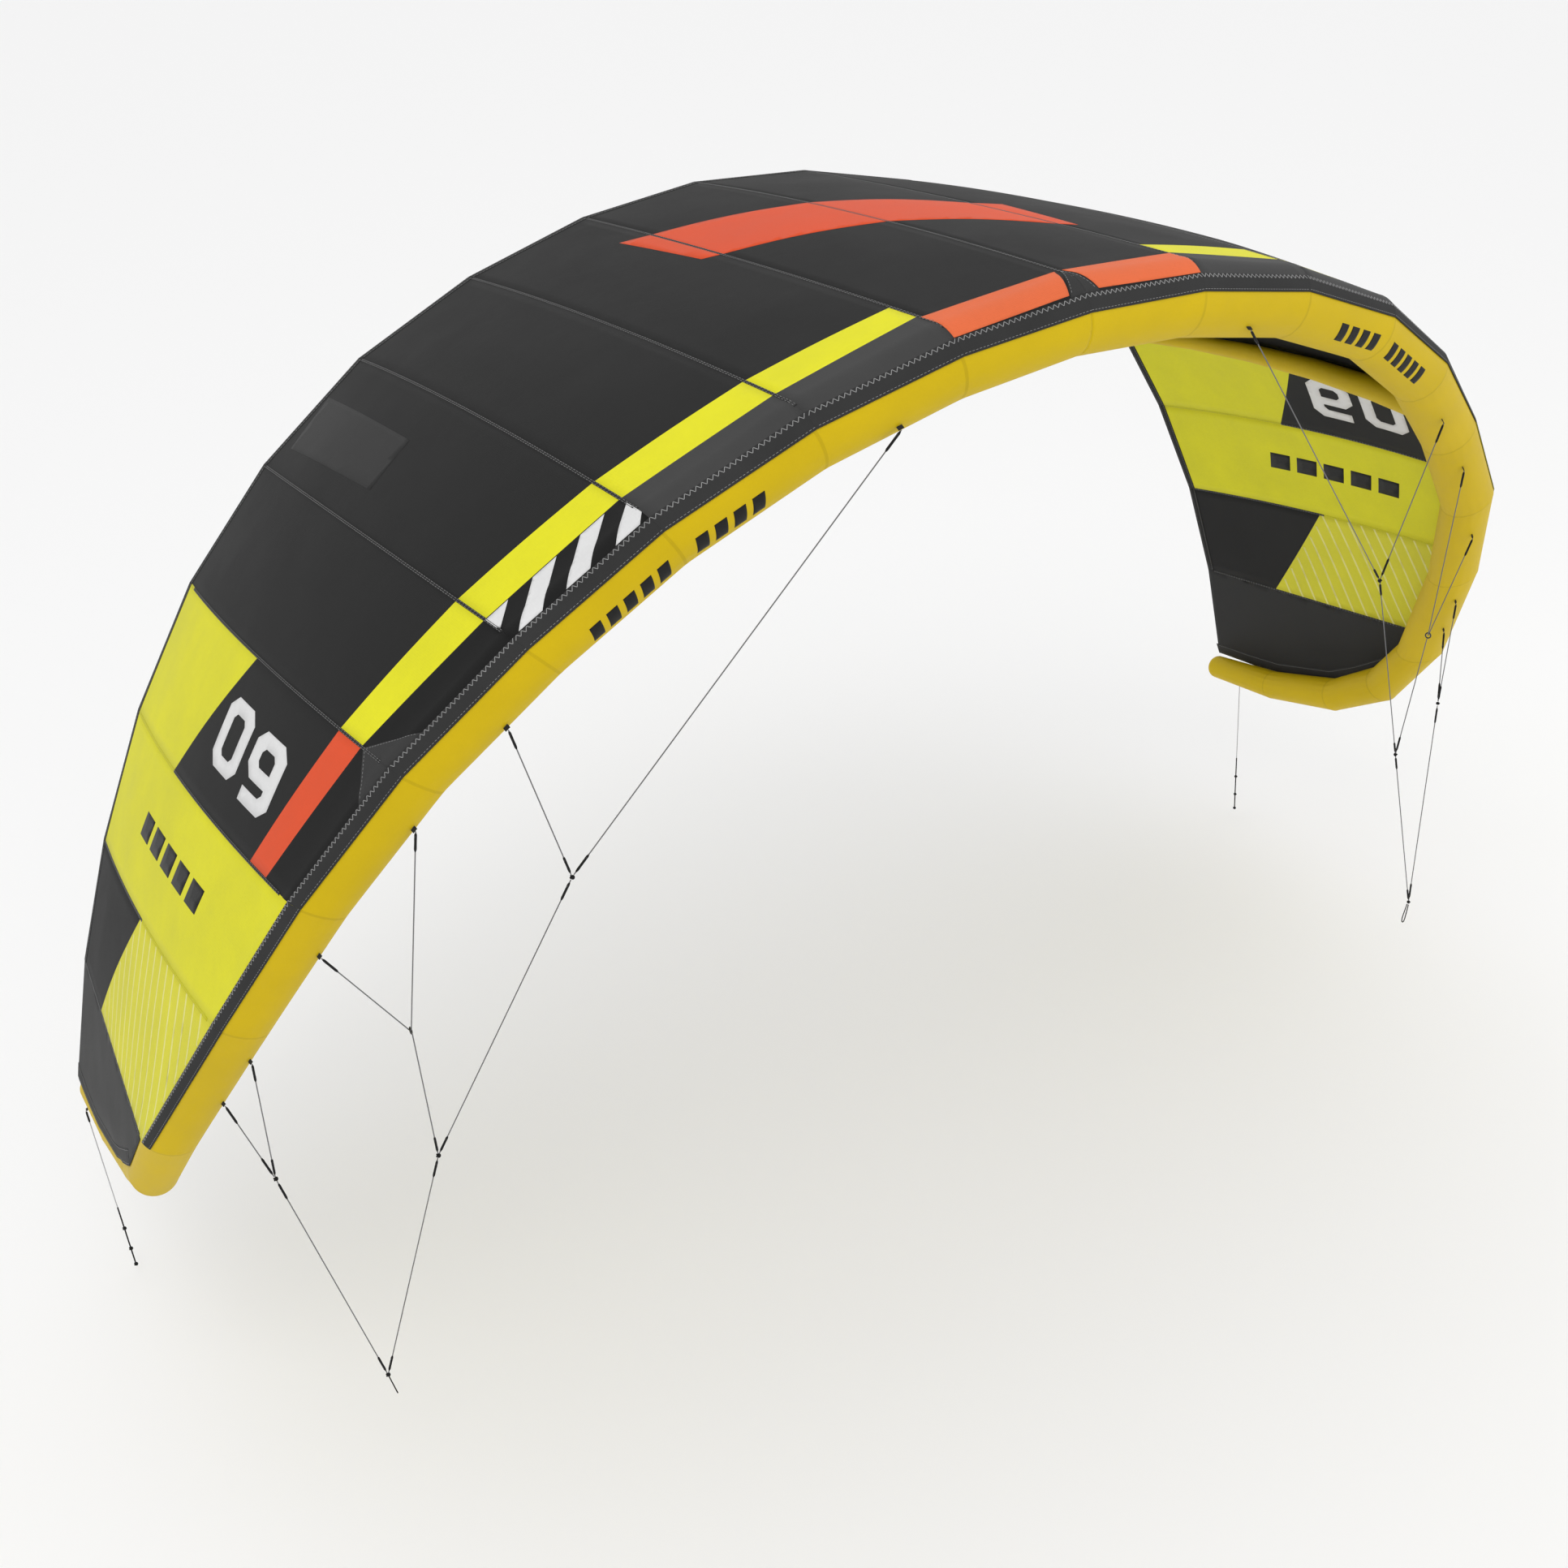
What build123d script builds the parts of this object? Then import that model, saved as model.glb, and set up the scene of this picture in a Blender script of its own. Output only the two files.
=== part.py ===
"""Inflatable kitesurf kite, nine square metres, with its bridle.

Origin: centre of the leading-edge tube on the centre line.
+X to the right wing tip, +Y to the trailing edge, +Z up. Millimetres.
"""
from build123d import *
import os
from math import cos, sin, radians, sqrt

os.makedirs("parts", exist_ok=True)

# ---- driving dimensions -------------------------------------------------
PANELS = 9                    # canopy panels on each wing
# front view, one value per panel from the centre out: slope in degrees
LE_TILT = [5.5, 14, 24, 35.5, 44, 51, 61.5, 66]
TE_TILT = [5, 14.5, 24.5, 37.5, 48, 57.5, 64, 69.5, 74.5]
# panel widths along the two edges
LE_WIDTH = [285, 310, 320, 310, 325, 335, 358, 423]
TE_WIDTH = [317, 325, 328, 338, 340, 350, 364, 361, 376]
# distance behind the origin, one value per seam from the centre out
LE_SWEEP = [0, 6, 29, 72, 143, 246, 347, 515, 757]
TE_SWEEP = [1503, 1501, 1501, 1518, 1548, 1586, 1620, 1648, 1684, 1725]
# the tube's joints round the wing tip: back, down, and depth under the cloth
TIP_JOINTS = [(931, -1779, 5), (1128, -1894, 24), (1420, -1984, 14), (1700, -2032, 0)]
# corners of the cloth's edge over the tip tube
TIP_EDGE = [(1560, -1992), (1420, -1964), (1200, -1898), (1090, -1846), (925, -1748)]
CAMBER = [18, 11, 21, 39, 49, 45, 33, 21, 0]  # rise of the cloth over its chord, per seam

R_CENTRE = 80.0               # tube radius at the centre
R_SHOULDER = 60.0             # tube radius where it turns round the tip
R_TIP = [57, 52, 46, 38]      # tube radius at the tip joints
WALL = 1.0                    # casing cloth
CLOTH = 1.0                   # canopy cloth
LAYER = 0.5                   # space between stacked cloth layers
SEAM_FRONT = 16.0             # front seam's angle above the tube's nose
SEAM_RISE = 5.0               # and its rise at each rib
TOP_ANGLE = 82.0              # where the cloth leaves the tube
SKIN = 0.5                    # bladder film
FILM_GAP = 0.4                # bladder to casing

STRUTS = {"centre": (0, 1), "left": (5, -1), "right": (5, 1)}
STRUT_R = (34.0, 18.0)        # strut radius at its nose and tail
STRUT_GAP = 1.0               # strut to cloth
STRUT_TAIL = 85.0             # strut end to trailing edge

HEM = 26.0                    # trailing-edge hem depth
HEM_CLOTH = 0.9
STRIP_ARC = 24.0              # leading-edge strip, degrees of tube
LINE_R = 1.3                  # bridle line radius
SLEEVE_R = 2.8                # stitched sleeve radius
SLEEVE = 46.0                 # sleeve length
KNOT_R = 5.0
TAB = 10.0                    # bridle tab stand-off

# bridle joints of the left wing
N1 = Vector(-1101, 183, -940)
N2 = Vector(-1432, 382, -1633)
N3 = Vector(-1448, 322, -1252)
N4 = Vector(-1754, 530, -1640)
PIGTAIL = Vector(-1635, 463, -2249)
# line starts on the tube: panel, fraction along it
LEGS = {"a1": (1, 0.50), "a2": (4, 0.45), "a3": (5, 0.28), "a4": (6, 0.30),
        "a5": (7, 0.20), "a6": (7, 0.56)}
LEG_ANGLE = 212.0             # round the tube, front and under


# ---- ribs ---------------------------------------------------------------
def edge_points(tilts, widths, sweeps):
    """Seam ends of the left wing from its panel slopes and widths."""
    x, z = 0.0, 0.0
    points = [Vector(0, sweeps[0], 0)]
    for tilt, width, sweep in zip(tilts, widths, sweeps[1:]):
        x -= width * cos(radians(tilt))
        z -= width * sin(radians(tilt))
        points.append(Vector(x, sweep, z))
    return points


LE = edge_points(LE_TILT, LE_WIDTH, LE_SWEEP)
TE = [p + Vector(0, 0, 19) for p in edge_points(TE_TILT, TE_WIDTH, TE_SWEEP)]


def tube_radius(i):
    if i > 8:
        return R_TIP[i - 9]
    return R_CENTRE + (R_SHOULDER - R_CENTRE) * i / 8


def along(points, i):
    """Direction from root to tip at joint i of an edge."""
    if i == 0:
        return Vector(-1, 0, 0)
    return (points[i + 1] - points[i - 1]).normalized() if i + 1 < len(points) \
        else (points[i] - points[i - 1]).normalized()


def tip_plane():
    """Plane of the tip panel: outward normal, through the last seam."""
    back = TE[9] - TE[8]
    top = LE[8] + Vector(-0.95, 0, 0.31) * (R_SHOULDER + LAYER)
    normal = back.cross(top - TE[8]).normalized()
    if normal.X > 0:
        normal = normal * -1
    return TE[8], normal


def on_tip(y, z, depth=0.0):
    """Point of the tip panel's plane at y, z, moved inward by depth."""
    base, normal = tip_plane()
    x = base.X - (normal.Y * (y - base.Y) + normal.Z * (z - base.Z)) / normal.X
    return Vector(x, y, z) - normal * depth


for joint, (back, down, sink) in enumerate(TIP_JOINTS):
    LE.append(on_tip(back, down, R_TIP[joint] + LAYER + sink))


def mirror_point(p, side):
    return Vector(-side * p.X, p.Y, p.Z)


def rib_axes(i):
    """Left wing: chord direction and upward normal of rib i."""
    chord = (TE[i] - LE[i]).normalized()
    span = (along(LE[:10], i) + along(TE, i)).normalized()
    normal = chord.cross(span)
    normal = normal * (1 if normal.Z > 0 else -1)
    return chord, normal.normalized()


def rib_plane(i, side):
    """Plane of rib i: x back along the chord, y up, z to the right."""
    chord, normal = rib_axes(i)
    chord = mirror_point(chord, side)
    normal = mirror_point(normal, side)
    return Plane(origin=mirror_point(LE[i], side), x_dir=chord, z_dir=chord.cross(normal))


def tube_section(i, side):
    """Plane and half axes of the tube's section at joint i."""
    if i <= 8:
        plane = rib_plane(i, side)
        run = mirror_point(along(LE, i), side) * side
        lean = abs(plane.z_dir.dot(run))
        return plane, tube_radius(i) / max(lean, 0.7), tube_radius(i)
    run = mirror_point(along(LE, i), side) * side
    out = mirror_point(tip_plane()[1], side)
    out = (out - run * out.dot(run)).normalized()
    plane = Plane(origin=mirror_point(LE[i], side), x_dir=out.cross(run), z_dir=run)
    return plane, tube_radius(i), tube_radius(i)


def chord_length(i):
    return (TE[i] - LE[i]).length


def cloth_start(i, grow):
    _, a, b = tube_section(i, 1)
    top = radians(TOP_ANGLE)
    return (a + grow) * cos(top), (b + grow) * sin(top)


def cloth_height(i, u, grow=LAYER):
    """Height of the cloth's lower face above the chord at distance u."""
    u0, v0 = cloth_start(i, grow)
    c = chord_length(i)
    s = (u - u0) / (c - u0)
    return v0 * (1 - s) + 4 * CAMBER[i] * s * (1 - s)


# ---- leading-edge tube --------------------------------------------------
LAST = 12


def tube_lofts(side, inset, first, last, mode):
    """Ruled tube through the joints first..last, inset from the casing."""
    for i in range(first, last):
        ends = []
        for j in (i, i + 1):
            plane, a, b = tube_section(j, side)
            with BuildSketch(plane) as section:
                Ellipse(a - inset, b - inset)
            ends.append(section.sketch)
        loft(ends, ruled=True, mode=mode)


def tube_cap(side, inset, reach, mode):
    """Rounded end of the tube, in two steps."""
    plane, a, _ = tube_section(LAST, side)
    steps = [(0, a - inset), (reach * 0.6, (a - inset) * 0.82), (reach, (a - inset) * 0.42)]
    for pair in zip(steps, steps[1:]):
        ends = []
        for distance, radius in pair:
            with BuildSketch(plane.offset(side * distance)) as section:
                Circle(radius)
            ends.append(section.sketch)
        loft(ends, ruled=True, mode=mode)


def tube_point(panel, part, angle, side, out=0.0):
    """Point on the tube, its outward direction and the tube's direction."""
    i = panel
    p0, a0, b0 = tube_section(i, side)
    p1, a1, b1 = tube_section(i + 1, side)
    t = radians(angle)
    def at(plane, a, b, grow):
        return plane.origin + plane.x_dir * ((a + grow) * cos(t)) \
            + plane.y_dir * ((b + grow) * sin(t))
    surface = at(p0, a0, b0, 0) * (1 - part) + at(p1, a1, b1, 0) * part
    centre = p0.origin * (1 - part) + p1.origin * part
    run = (p1.origin - p0.origin).normalized()
    away = surface - centre
    away = (away - run * away.dot(run)).normalized()
    return surface + away * out, away, run


def valve_plane(side):
    """Plane on the tube's hidden rear underside beside the centre strut."""
    point, away, run = tube_point(0, 0.5, -48, side, out=1.2)
    return Plane(origin=point, x_dir=run * side, z_dir=away)


VALVES = {1: 6.0, -1: 9.0}    # port radius: inflate on the right, dump on the left


def le_casing(side):
    """Casing sewn from one tapered length of tube per joint."""
    lengths = []
    for i in range(LAST):
        with BuildPart() as casing:
            tube_lofts(side, 0, i, i + 1, Mode.ADD)
            if i == LAST - 1:
                tube_cap(side, 0, 26, Mode.ADD)
            tube_lofts(side, WALL, i, i + 1, Mode.SUBTRACT)
            if i == LAST - 1:
                tube_cap(side, WALL, 25, Mode.SUBTRACT)
            if i == 0:
                with BuildSketch(valve_plane(side).offset(-12)):
                    Circle(VALVES[side])
                extrude(amount=14, mode=Mode.SUBTRACT)
        lengths.extend(casing.part.solids())
    return Compound(lengths)


def le_bladder(side):
    outer = WALL + FILM_GAP
    with BuildPart() as bladder:
        tube_lofts(side, outer, 0, LAST, Mode.ADD)
        tube_cap(side, outer, 18, Mode.ADD)
        tube_lofts(side, outer + SKIN, 0, LAST, Mode.SUBTRACT)
        tube_cap(side, outer + SKIN, 17.5, Mode.SUBTRACT)
        with BuildSketch(valve_plane(side).offset(-12)):
            Circle(VALVES[side])
        extrude(amount=14, mode=Mode.SUBTRACT)
    return bladder.part


# ---- canopy -------------------------------------------------------------
def cloth_line(i, grow, front):
    """Lower line of a cloth layer in rib i: over the tube, back to the hem."""
    _, a, b = tube_section(i, 1)
    u0, v0 = cloth_start(i, grow)
    c = chord_length(i)
    wrap = EllipticalCenterArc((0, 0), a + grow, b + grow, start_angle=TOP_ANGLE,
                               arc_size=180 - front - TOP_ANGLE)
    lift = grow - LAYER
    if CAMBER[i] > 0:
        mid = ((u0 + c) / 2, (v0 + lift) / 2 + CAMBER[i])
        run = ThreePointArc(wrap @ 0, mid, (c, lift))
    else:
        run = Line(wrap @ 0, (c, lift))
    return wrap, run


def rib_face(i, side, grow, thick):
    """Section of the canopy cloth in rib i."""
    front = SEAM_FRONT + SEAM_RISE * i
    with BuildSketch(rib_plane(i, side)) as sketch:
        with BuildLine():
            low_wrap, low_run = cloth_line(i, grow, front)
            top_wrap, top_run = cloth_line(i, grow + thick, front)
            Line(low_wrap @ 1, top_wrap @ 1)
            Line(low_run @ 1, top_run @ 1)
        make_face()
    return sketch.sketch


def canopy_panel(k, side):
    """Panel k, between ribs k-1 and k."""
    with BuildPart() as panel:
        loft([rib_face(i, side, LAYER, CLOTH) for i in (k - 1, k)], ruled=True)
    return panel.part


def tip_panel(side):
    """Flat outer panel between the last seam and the tip."""
    u0, v0 = cloth_start(8, LAYER)
    start = rib_plane(8, -1).from_local_coords(Vector(u0, v0, 0))
    corners = [start, TE[8], TE[9]] + [on_tip(y, z) for y, z in TIP_EDGE]
    normal = tip_plane()[1]
    flat = [p - normal * (p - TE[8]).dot(normal) for p in corners]
    flat = [mirror_point(p, side) for p in flat]
    out = mirror_point(normal, side)
    plane = Plane(origin=flat[1], x_dir=(flat[2] - flat[1]), z_dir=out)
    with BuildPart() as panel:
        with BuildSketch(plane):
            with BuildLine():
                local = [plane.to_local_coords(p) for p in flat]
                Polyline([(p.X, p.Y) for p in local], close=True)
            make_face()
        extrude(amount=CLOTH)
    return panel.part


def hem_face(i, side):
    """Folded hem round the cloth's back edge, section in rib i."""
    c = chord_length(i)
    u0, v0 = cloth_start(i, LAYER)
    slope = -(v0 + 4 * CAMBER[i]) / (c - u0)
    d = Vector(1, slope).normalized()
    n = Vector(-d.Y, d.X)
    g, h, t = 0.35, HEM_CLOTH, CLOTH
    outline = [(-HEM, t + g), (g, t + g), (g, -g), (-HEM, -g),
               (-HEM, -g - h), (g + h, -g - h), (g + h, t + g + h), (-HEM, t + g + h)]
    with BuildSketch(rib_plane(i, side)) as sketch:
        with BuildLine():
            points = [Vector(c, 0) + d * a + n * b for a, b in outline]
            Polyline([(p.X, p.Y) for p in points], close=True)
        make_face()
    return sketch.sketch


def te_hem(side):
    with BuildPart() as hem:
        for i in range(8):
            loft([hem_face(i, side), hem_face(i + 1, side)], ruled=True)
    return hem.part


def strip_face(i, side):
    """Reinforcement strip over the front seam, section in rib i."""
    _, a, b = tube_section(i, 1)
    low = LAYER + CLOTH + LAYER
    front = 180 - SEAM_FRONT - SEAM_RISE * i
    with BuildSketch(rib_plane(i, side)) as sketch:
        with BuildLine():
            under = EllipticalCenterArc((0, 0), a + low, b + low,
                                        start_angle=front - STRIP_ARC, arc_size=STRIP_ARC)
            over = EllipticalCenterArc((0, 0), a + low + 1, b + low + 1,
                                       start_angle=front - STRIP_ARC, arc_size=STRIP_ARC)
            Line(under @ 0, over @ 0)
            Line(under @ 1, over @ 1)
        make_face()
    return sketch.sketch


def le_strip(side):
    with BuildPart() as strip:
        for i in range(8):
            loft([strip_face(i, side), strip_face(i + 1, side)], ruled=True)
    return strip.part


# ---- struts -------------------------------------------------------------
def strut_stations(i):
    """Distance back, axis height and radius of the strut under rib i."""
    nose, tail = STRUT_R
    last = chord_length(i) - STRUT_TAIL
    first = tube_radius(i) * 0.75
    rows = []
    for n in range(6):
        u = first + (last - first) * n / 5
        r = nose + (tail - nose) * n / 5
        rows.append((u, cloth_height(i, u) - STRUT_GAP - r, r))
    return rows


def strut_at(rows, u):
    """Strut station at distance u, between its neighbours."""
    for (u0, v0, r0), (u1, v1, r1) in zip(rows, rows[1:]):
        if u <= u1:
            s = (u - u0) / (u1 - u0)
            return u, v0 + (v1 - v0) * s, r0 + (r1 - r0) * s
    return rows[-1]


def strut_lofts(i, side, rows, mode):
    plane = rib_plane(i, side)
    for pair in zip(rows, rows[1:]):
        ends = []
        for u, v, r in pair:
            centre = plane.from_local_coords(Vector(u, v, 0))
            across = Plane(origin=centre, x_dir=plane.y_dir, z_dir=plane.x_dir)
            with BuildSketch(across) as section:
                Circle(r)
            ends.append(section.sketch)
        loft(ends, ruled=True, mode=mode)


def clear_of_tube(i, side, gap):
    """Take the leading-edge tube, grown by gap, out of the part."""
    if i == 0:
        tube_lofts(-1, -gap, 0, 1, Mode.SUBTRACT)
        tube_lofts(1, -gap, 0, 1, Mode.SUBTRACT)
    else:
        tube_lofts(side, -gap, i - 1, i + 1, Mode.SUBTRACT)


def strut_casing(i, side):
    rows = strut_stations(i)
    u, v, r = rows[-1]
    with BuildPart() as strut:
        strut_lofts(i, side, rows + [(u + 8, v + 1, r * 0.8), (u + 13, v + 2, r * 0.4)], Mode.ADD)
        strut_lofts(i, side, [(u, v, r - WALL) for u, v, r in rows], Mode.SUBTRACT)
        clear_of_tube(i, side, 0.7)
    return strut.part


def strut_bladder(i, side):
    film = WALL + FILM_GAP
    rows = [(u, v, r - film) for u, v, r in strut_stations(i)]
    first, last = rows[0][0] + 85, rows[-1][0] - 2
    outer = [strut_at(rows, first)] + rows[1:-1] + [strut_at(rows, last)]
    inner = [strut_at(rows, first + SKIN)] + rows[1:-1] + [strut_at(rows, last - SKIN)]
    with BuildPart() as bladder:
        strut_lofts(i, side, outer, Mode.ADD)
        strut_lofts(i, side, [(u, v, r - SKIN) for u, v, r in inner], Mode.SUBTRACT)
    return bladder.part


# ---- valves -------------------------------------------------------------
PIN_R = 1.5
PIN_GAP = 0.05
NECK = 14.5                   # valve neck height
CAP = (15.0, 18.6)            # cap's lower and upper face


def hinge_ears(plane, y, z, base):
    """Two ears and their pin, the pin along the plane's x through y, z."""
    with BuildPart() as ears:
        with BuildSketch(plane.offset(base)):
            with Locations((-6.75, y), (6.75, y)):
                Rectangle(2.5, 7)
        extrude(amount=z + 3.2 - base)
        pin = Plane(origin=plane.from_local_coords(Vector(-8, y, z)),
                    x_dir=plane.y_dir, z_dir=plane.x_dir)
        with BuildSketch(pin):
            Circle(PIN_R)
        extrude(amount=16)
    return ears.part


def knuckle(plane, y, z, radius):
    """Bored knuckle that turns on the ears' pin."""
    with BuildPart() as eye:
        start = Plane(origin=plane.from_local_coords(Vector(-5.2, y, z)),
                      x_dir=plane.y_dir, z_dir=plane.x_dir)
        with BuildSketch(start):
            Circle(radius)
        extrude(amount=10.4)
    return eye.part


def pin_hole(plane, y, z):
    with BuildPart() as hole:
        start = Plane(origin=plane.from_local_coords(Vector(-9, y, z)),
                      x_dir=plane.y_dir, z_dir=plane.x_dir)
        with BuildSketch(start):
            Circle(PIN_R + PIN_GAP)
        extrude(amount=18)
    return hole.part


def cap_pivot(port):
    return port + 13, (CAP[0] + CAP[1]) / 2


def valve_body(side):
    port = VALVES[side]
    plane = valve_plane(side)
    y, z = cap_pivot(port)
    with BuildPart() as body:
        with BuildSketch(plane):
            Circle(port + 19)
        extrude(amount=1.5)
        with BuildSketch(plane):
            Circle(port + 6)
        extrude(amount=NECK)
        add(hinge_ears(plane, y, z, 0))
        with BuildSketch(plane.offset(-1)):
            Circle(port)
        extrude(amount=NECK + 2, mode=Mode.SUBTRACT)
        with BuildSketch(plane.offset(NECK - 4)):
            Circle(port + 6)
            Circle(port + 5, mode=Mode.SUBTRACT)
        extrude(amount=1.5, mode=Mode.SUBTRACT)
    return body.part


def valve_cap(side):
    port = VALVES[side]
    plane = valve_plane(side)
    y, z = cap_pivot(port)
    with BuildPart() as cap:
        with BuildSketch(plane.offset(CAP[0])):
            Circle(port + 7)
            with Locations((0, (port + y) / 2 + 1)):
                Rectangle(10.4, y - port - 2)
        extrude(amount=CAP[1] - CAP[0])
        with BuildSketch(plane.offset(CAP[1])):
            Circle(port + 3)
            with PolarLocations(port + 7, 6):
                Circle(2.2, mode=Mode.SUBTRACT)
        extrude(amount=1.2)
        add(knuckle(plane, y, z, 2.9))
        add(pin_hole(plane, y, z), mode=Mode.SUBTRACT)
    return cap.part


# ---- inflation hose between the leading edge and the centre strut --------
HOSED = {"centre": (0, 1)}    # struts fed by a hose; the others are fed inside
HOSE_R = (7.0, 5.0)
HOSE_BEND = 14.0
HOSE_OUT = 34.0
HOSE_BACK = 185.0
FLANGE = (2.0, 1.2)           # hose flange: off the cloth, thickness
HOSE_START = 3.6              # hose end above the cloth


def strut_slope(i):
    """Outward direction of the strut's underside at the hose."""
    _, v0, r0 = strut_at(strut_stations(i), HOSE_BACK - 5)
    _, v1, r1 = strut_at(strut_stations(i), HOSE_BACK + 5)
    return Vector((v1 - r1 - v0 + r0) / 10, -1).normalized()


def hose_corners(i, side):
    """Hose seats with their outward directions, and the corners between."""
    plane = rib_plane(i, side)
    foot, away, _ = tube_point(i, 18 / LE_WIDTH[i], -52, side)
    low = foot + away * HOSE_OUT
    _, v, r = strut_at(strut_stations(i), HOSE_BACK)
    slope = strut_slope(i)
    under = plane.from_local_coords(Vector(HOSE_BACK, v - r, 0))
    out = plane.x_dir * slope.X + plane.y_dir * slope.Y
    drop = (plane.to_local_coords(low).Y - v + r) / slope.Y
    return (foot, away), (under, out), low, under + out * drop


def hose(i, side):
    (foot, away), (under, out), low, back = hose_corners(i, side)
    corners = (foot + away * HOSE_START, low, back, under + out * HOSE_START)
    with BuildPart() as tube:
        with BuildLine():
            path = FilletPolyline(*corners, radius=HOSE_BEND)
        with BuildSketch(Plane(origin=path @ 0, z_dir=path % 0)):
            Circle(HOSE_R[0])
            Circle(HOSE_R[1], mode=Mode.SUBTRACT)
        sweep(path=path)
    return tube.part


def hose_flanges(i, side):
    """The two glued flanges with the barbs the hose is pushed on."""
    with BuildPart() as pair:
        for point, out in hose_corners(i, side)[:2]:
            seat = Plane(origin=point, z_dir=out)
            with BuildSketch(seat.offset(FLANGE[0])):
                Circle(15)
            extrude(amount=FLANGE[1])
            with BuildSketch(seat.offset(FLANGE[0])):
                Circle(HOSE_R[1] - 0.1)
                Circle(3.2, mode=Mode.SUBTRACT)
            extrude(amount=14)
    return pair.part


def clip_plane(i, side):
    """Clip's plane on the hose's level run: x along the hose, z down."""
    _, _, low, back = hose_corners(i, side)
    along_hose = (back - low).normalized()
    down = rib_plane(i, side).y_dir * -1
    down = down - along_hose * down.dot(along_hose)
    return Plane(origin=(low + back) * 0.5, x_dir=along_hose, z_dir=down.normalized())


def clip_body(i, side):
    plane = clip_plane(i, side)
    cross = Plane(origin=plane.from_local_coords(Vector(-8, 0, 0)),
                  x_dir=plane.y_dir, z_dir=plane.x_dir)
    with BuildPart() as body:
        with BuildSketch(cross):
            RectangleRounded(26, 21, 3)
            Circle(HOSE_R[0] + 0.3, mode=Mode.SUBTRACT)
        extrude(amount=16)
        add(hinge_ears(plane, 9, 14, 9.5))
    return body.part


def clip_lever(i, side):
    plane = clip_plane(i, side)
    with BuildPart() as lever:
        with BuildSketch(plane.offset(12.2)):
            with Locations((0, -1)):
                Rectangle(10.4, 20)
        extrude(amount=3.6)
        with BuildSketch(plane.offset(11.2)):
            with Locations((0, -9)):
                Rectangle(10.4, 4)
        extrude(amount=2)
        add(knuckle(plane, 9, 14, 3.1))
        add(pin_hole(plane, 9, 14), mode=Mode.SUBTRACT)
    return lever.part


# ---- bridle -------------------------------------------------------------
RING = (7.0, 1.8)             # slider ring: radius, half thickness
RING_GAP = 0.3
LOOP_R = 1.5                  # front pigtail cord
LOOP_LENGTH = 72.0
LOOP_HALF = 5.0
LOOP_BEND = 4.5
LEADER = 340.0                # rear leader's thin part
TAIL_R = 2.0                  # its knotted tail
TAIL_KNOTS = [417, 491, 549]  # knots down the leader, from the tip
TAIL_KNOT_R = 4.6
LEADER_SEAT = (11, 0.786, 135)


def leg_start(name, side):
    panel, part = LEGS[name]
    return tube_point(panel, part, LEG_ANGLE, side, out=TAB)


def rod(start, end, radius, bore=0.0):
    """Straight cord, or sleeve when bored, from start to end."""
    plane = Plane(origin=start, z_dir=end - start)
    with BuildPart() as bar:
        with BuildSketch(plane):
            Circle(radius)
            if bore:
                Circle(bore, mode=Mode.SUBTRACT)
        extrude(amount=(end - start).length)
    return bar.part


def slider(side):
    """Joint N3: bend centre, ring centre, ring axis and lower end."""
    corner = mirror_point(N3, side)
    a = (leg_start("a3", side)[0] - corner).normalized()
    b = (leg_start("a4", side)[0] - corner).normalized()
    inward = (a + b).normalized()
    bend = RING[1] + RING_GAP + LINE_R
    half = sqrt((1 - a.dot(b)) / 2)
    hub = corner + inward * (bend / half)
    ring = hub - inward * RING[0]
    return hub, ring, (a - b).normalized(), ring - inward * (RING[0] + RING[1])


def runs(side):
    """Straight bridle cords: start, end, start trim, end trim, sleeves."""
    at = {name: leg_start(name, side)[0] for name in LEGS}
    n1, n2, n4 = (mirror_point(p, side) for p in (N1, N2, N4))
    end = mirror_point(PIGTAIL, side)
    bottom = slider(side)[3]
    return [(at["a1"], n1, 1, 7, (4, 14)), (at["a2"], n1, 1, 7, (4, 14)),
            (n1, n2, 7, 7, (14, 14)), (bottom, n2, 1, 7, (None, 14)),
            (at["a5"], n4, 1, 7, (4, 14)), (at["a6"], n4, 1, 7, (4, 14)),
            (n2, end, 7, 7, (14, 14)), (n4, end, 7, 7, (14, 14))]


def bridle_lines(side):
    with BuildPart() as lines:
        for a, b, trim_a, trim_b, _ in runs(side):
            d = (b - a).normalized()
            add(rod(a + d * trim_a, b - d * trim_b, LINE_R))
    return lines.part


def pulley_line(side):
    """One cord from the third leg through the slider ring to the fourth."""
    corner = mirror_point(N3, side)
    a, b = (leg_start(name, side)[0] for name in ("a3", "a4"))
    a, b = (p + (corner - p).normalized() for p in (a, b))
    bend = RING[1] + RING_GAP + LINE_R
    with BuildPart() as cord:
        with BuildLine():
            path = FilletPolyline(a, corner, b, radius=bend)
        with BuildSketch(Plane(origin=path @ 0, z_dir=path % 0)):
            Circle(LINE_R)
        sweep(path=path)
    return cord.part


def leader_line(side):
    start, away, _ = tube_point(*LEADER_SEAT, side, out=TAB)
    return start, Vector(0, 0, -1)


def bridle_sleeves(side):
    bore = LINE_R + 0.25
    with BuildPart() as sleeves:
        for a, b, _, _, (gap_a, gap_b) in runs(side):
            d = (b - a).normalized()
            if gap_a is not None:
                add(rod(a + d * gap_a, a + d * (gap_a + SLEEVE), SLEEVE_R, bore))
            add(rod(b - d * (gap_b + SLEEVE), b - d * gap_b, SLEEVE_R, bore))
        for name in ("a3", "a4"):
            a = leg_start(name, side)[0]
            d = (mirror_point(N3, side) - a).normalized()
            add(rod(a + d * 4, a + d * (4 + SLEEVE), SLEEVE_R, bore))
    return sleeves.part


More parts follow.
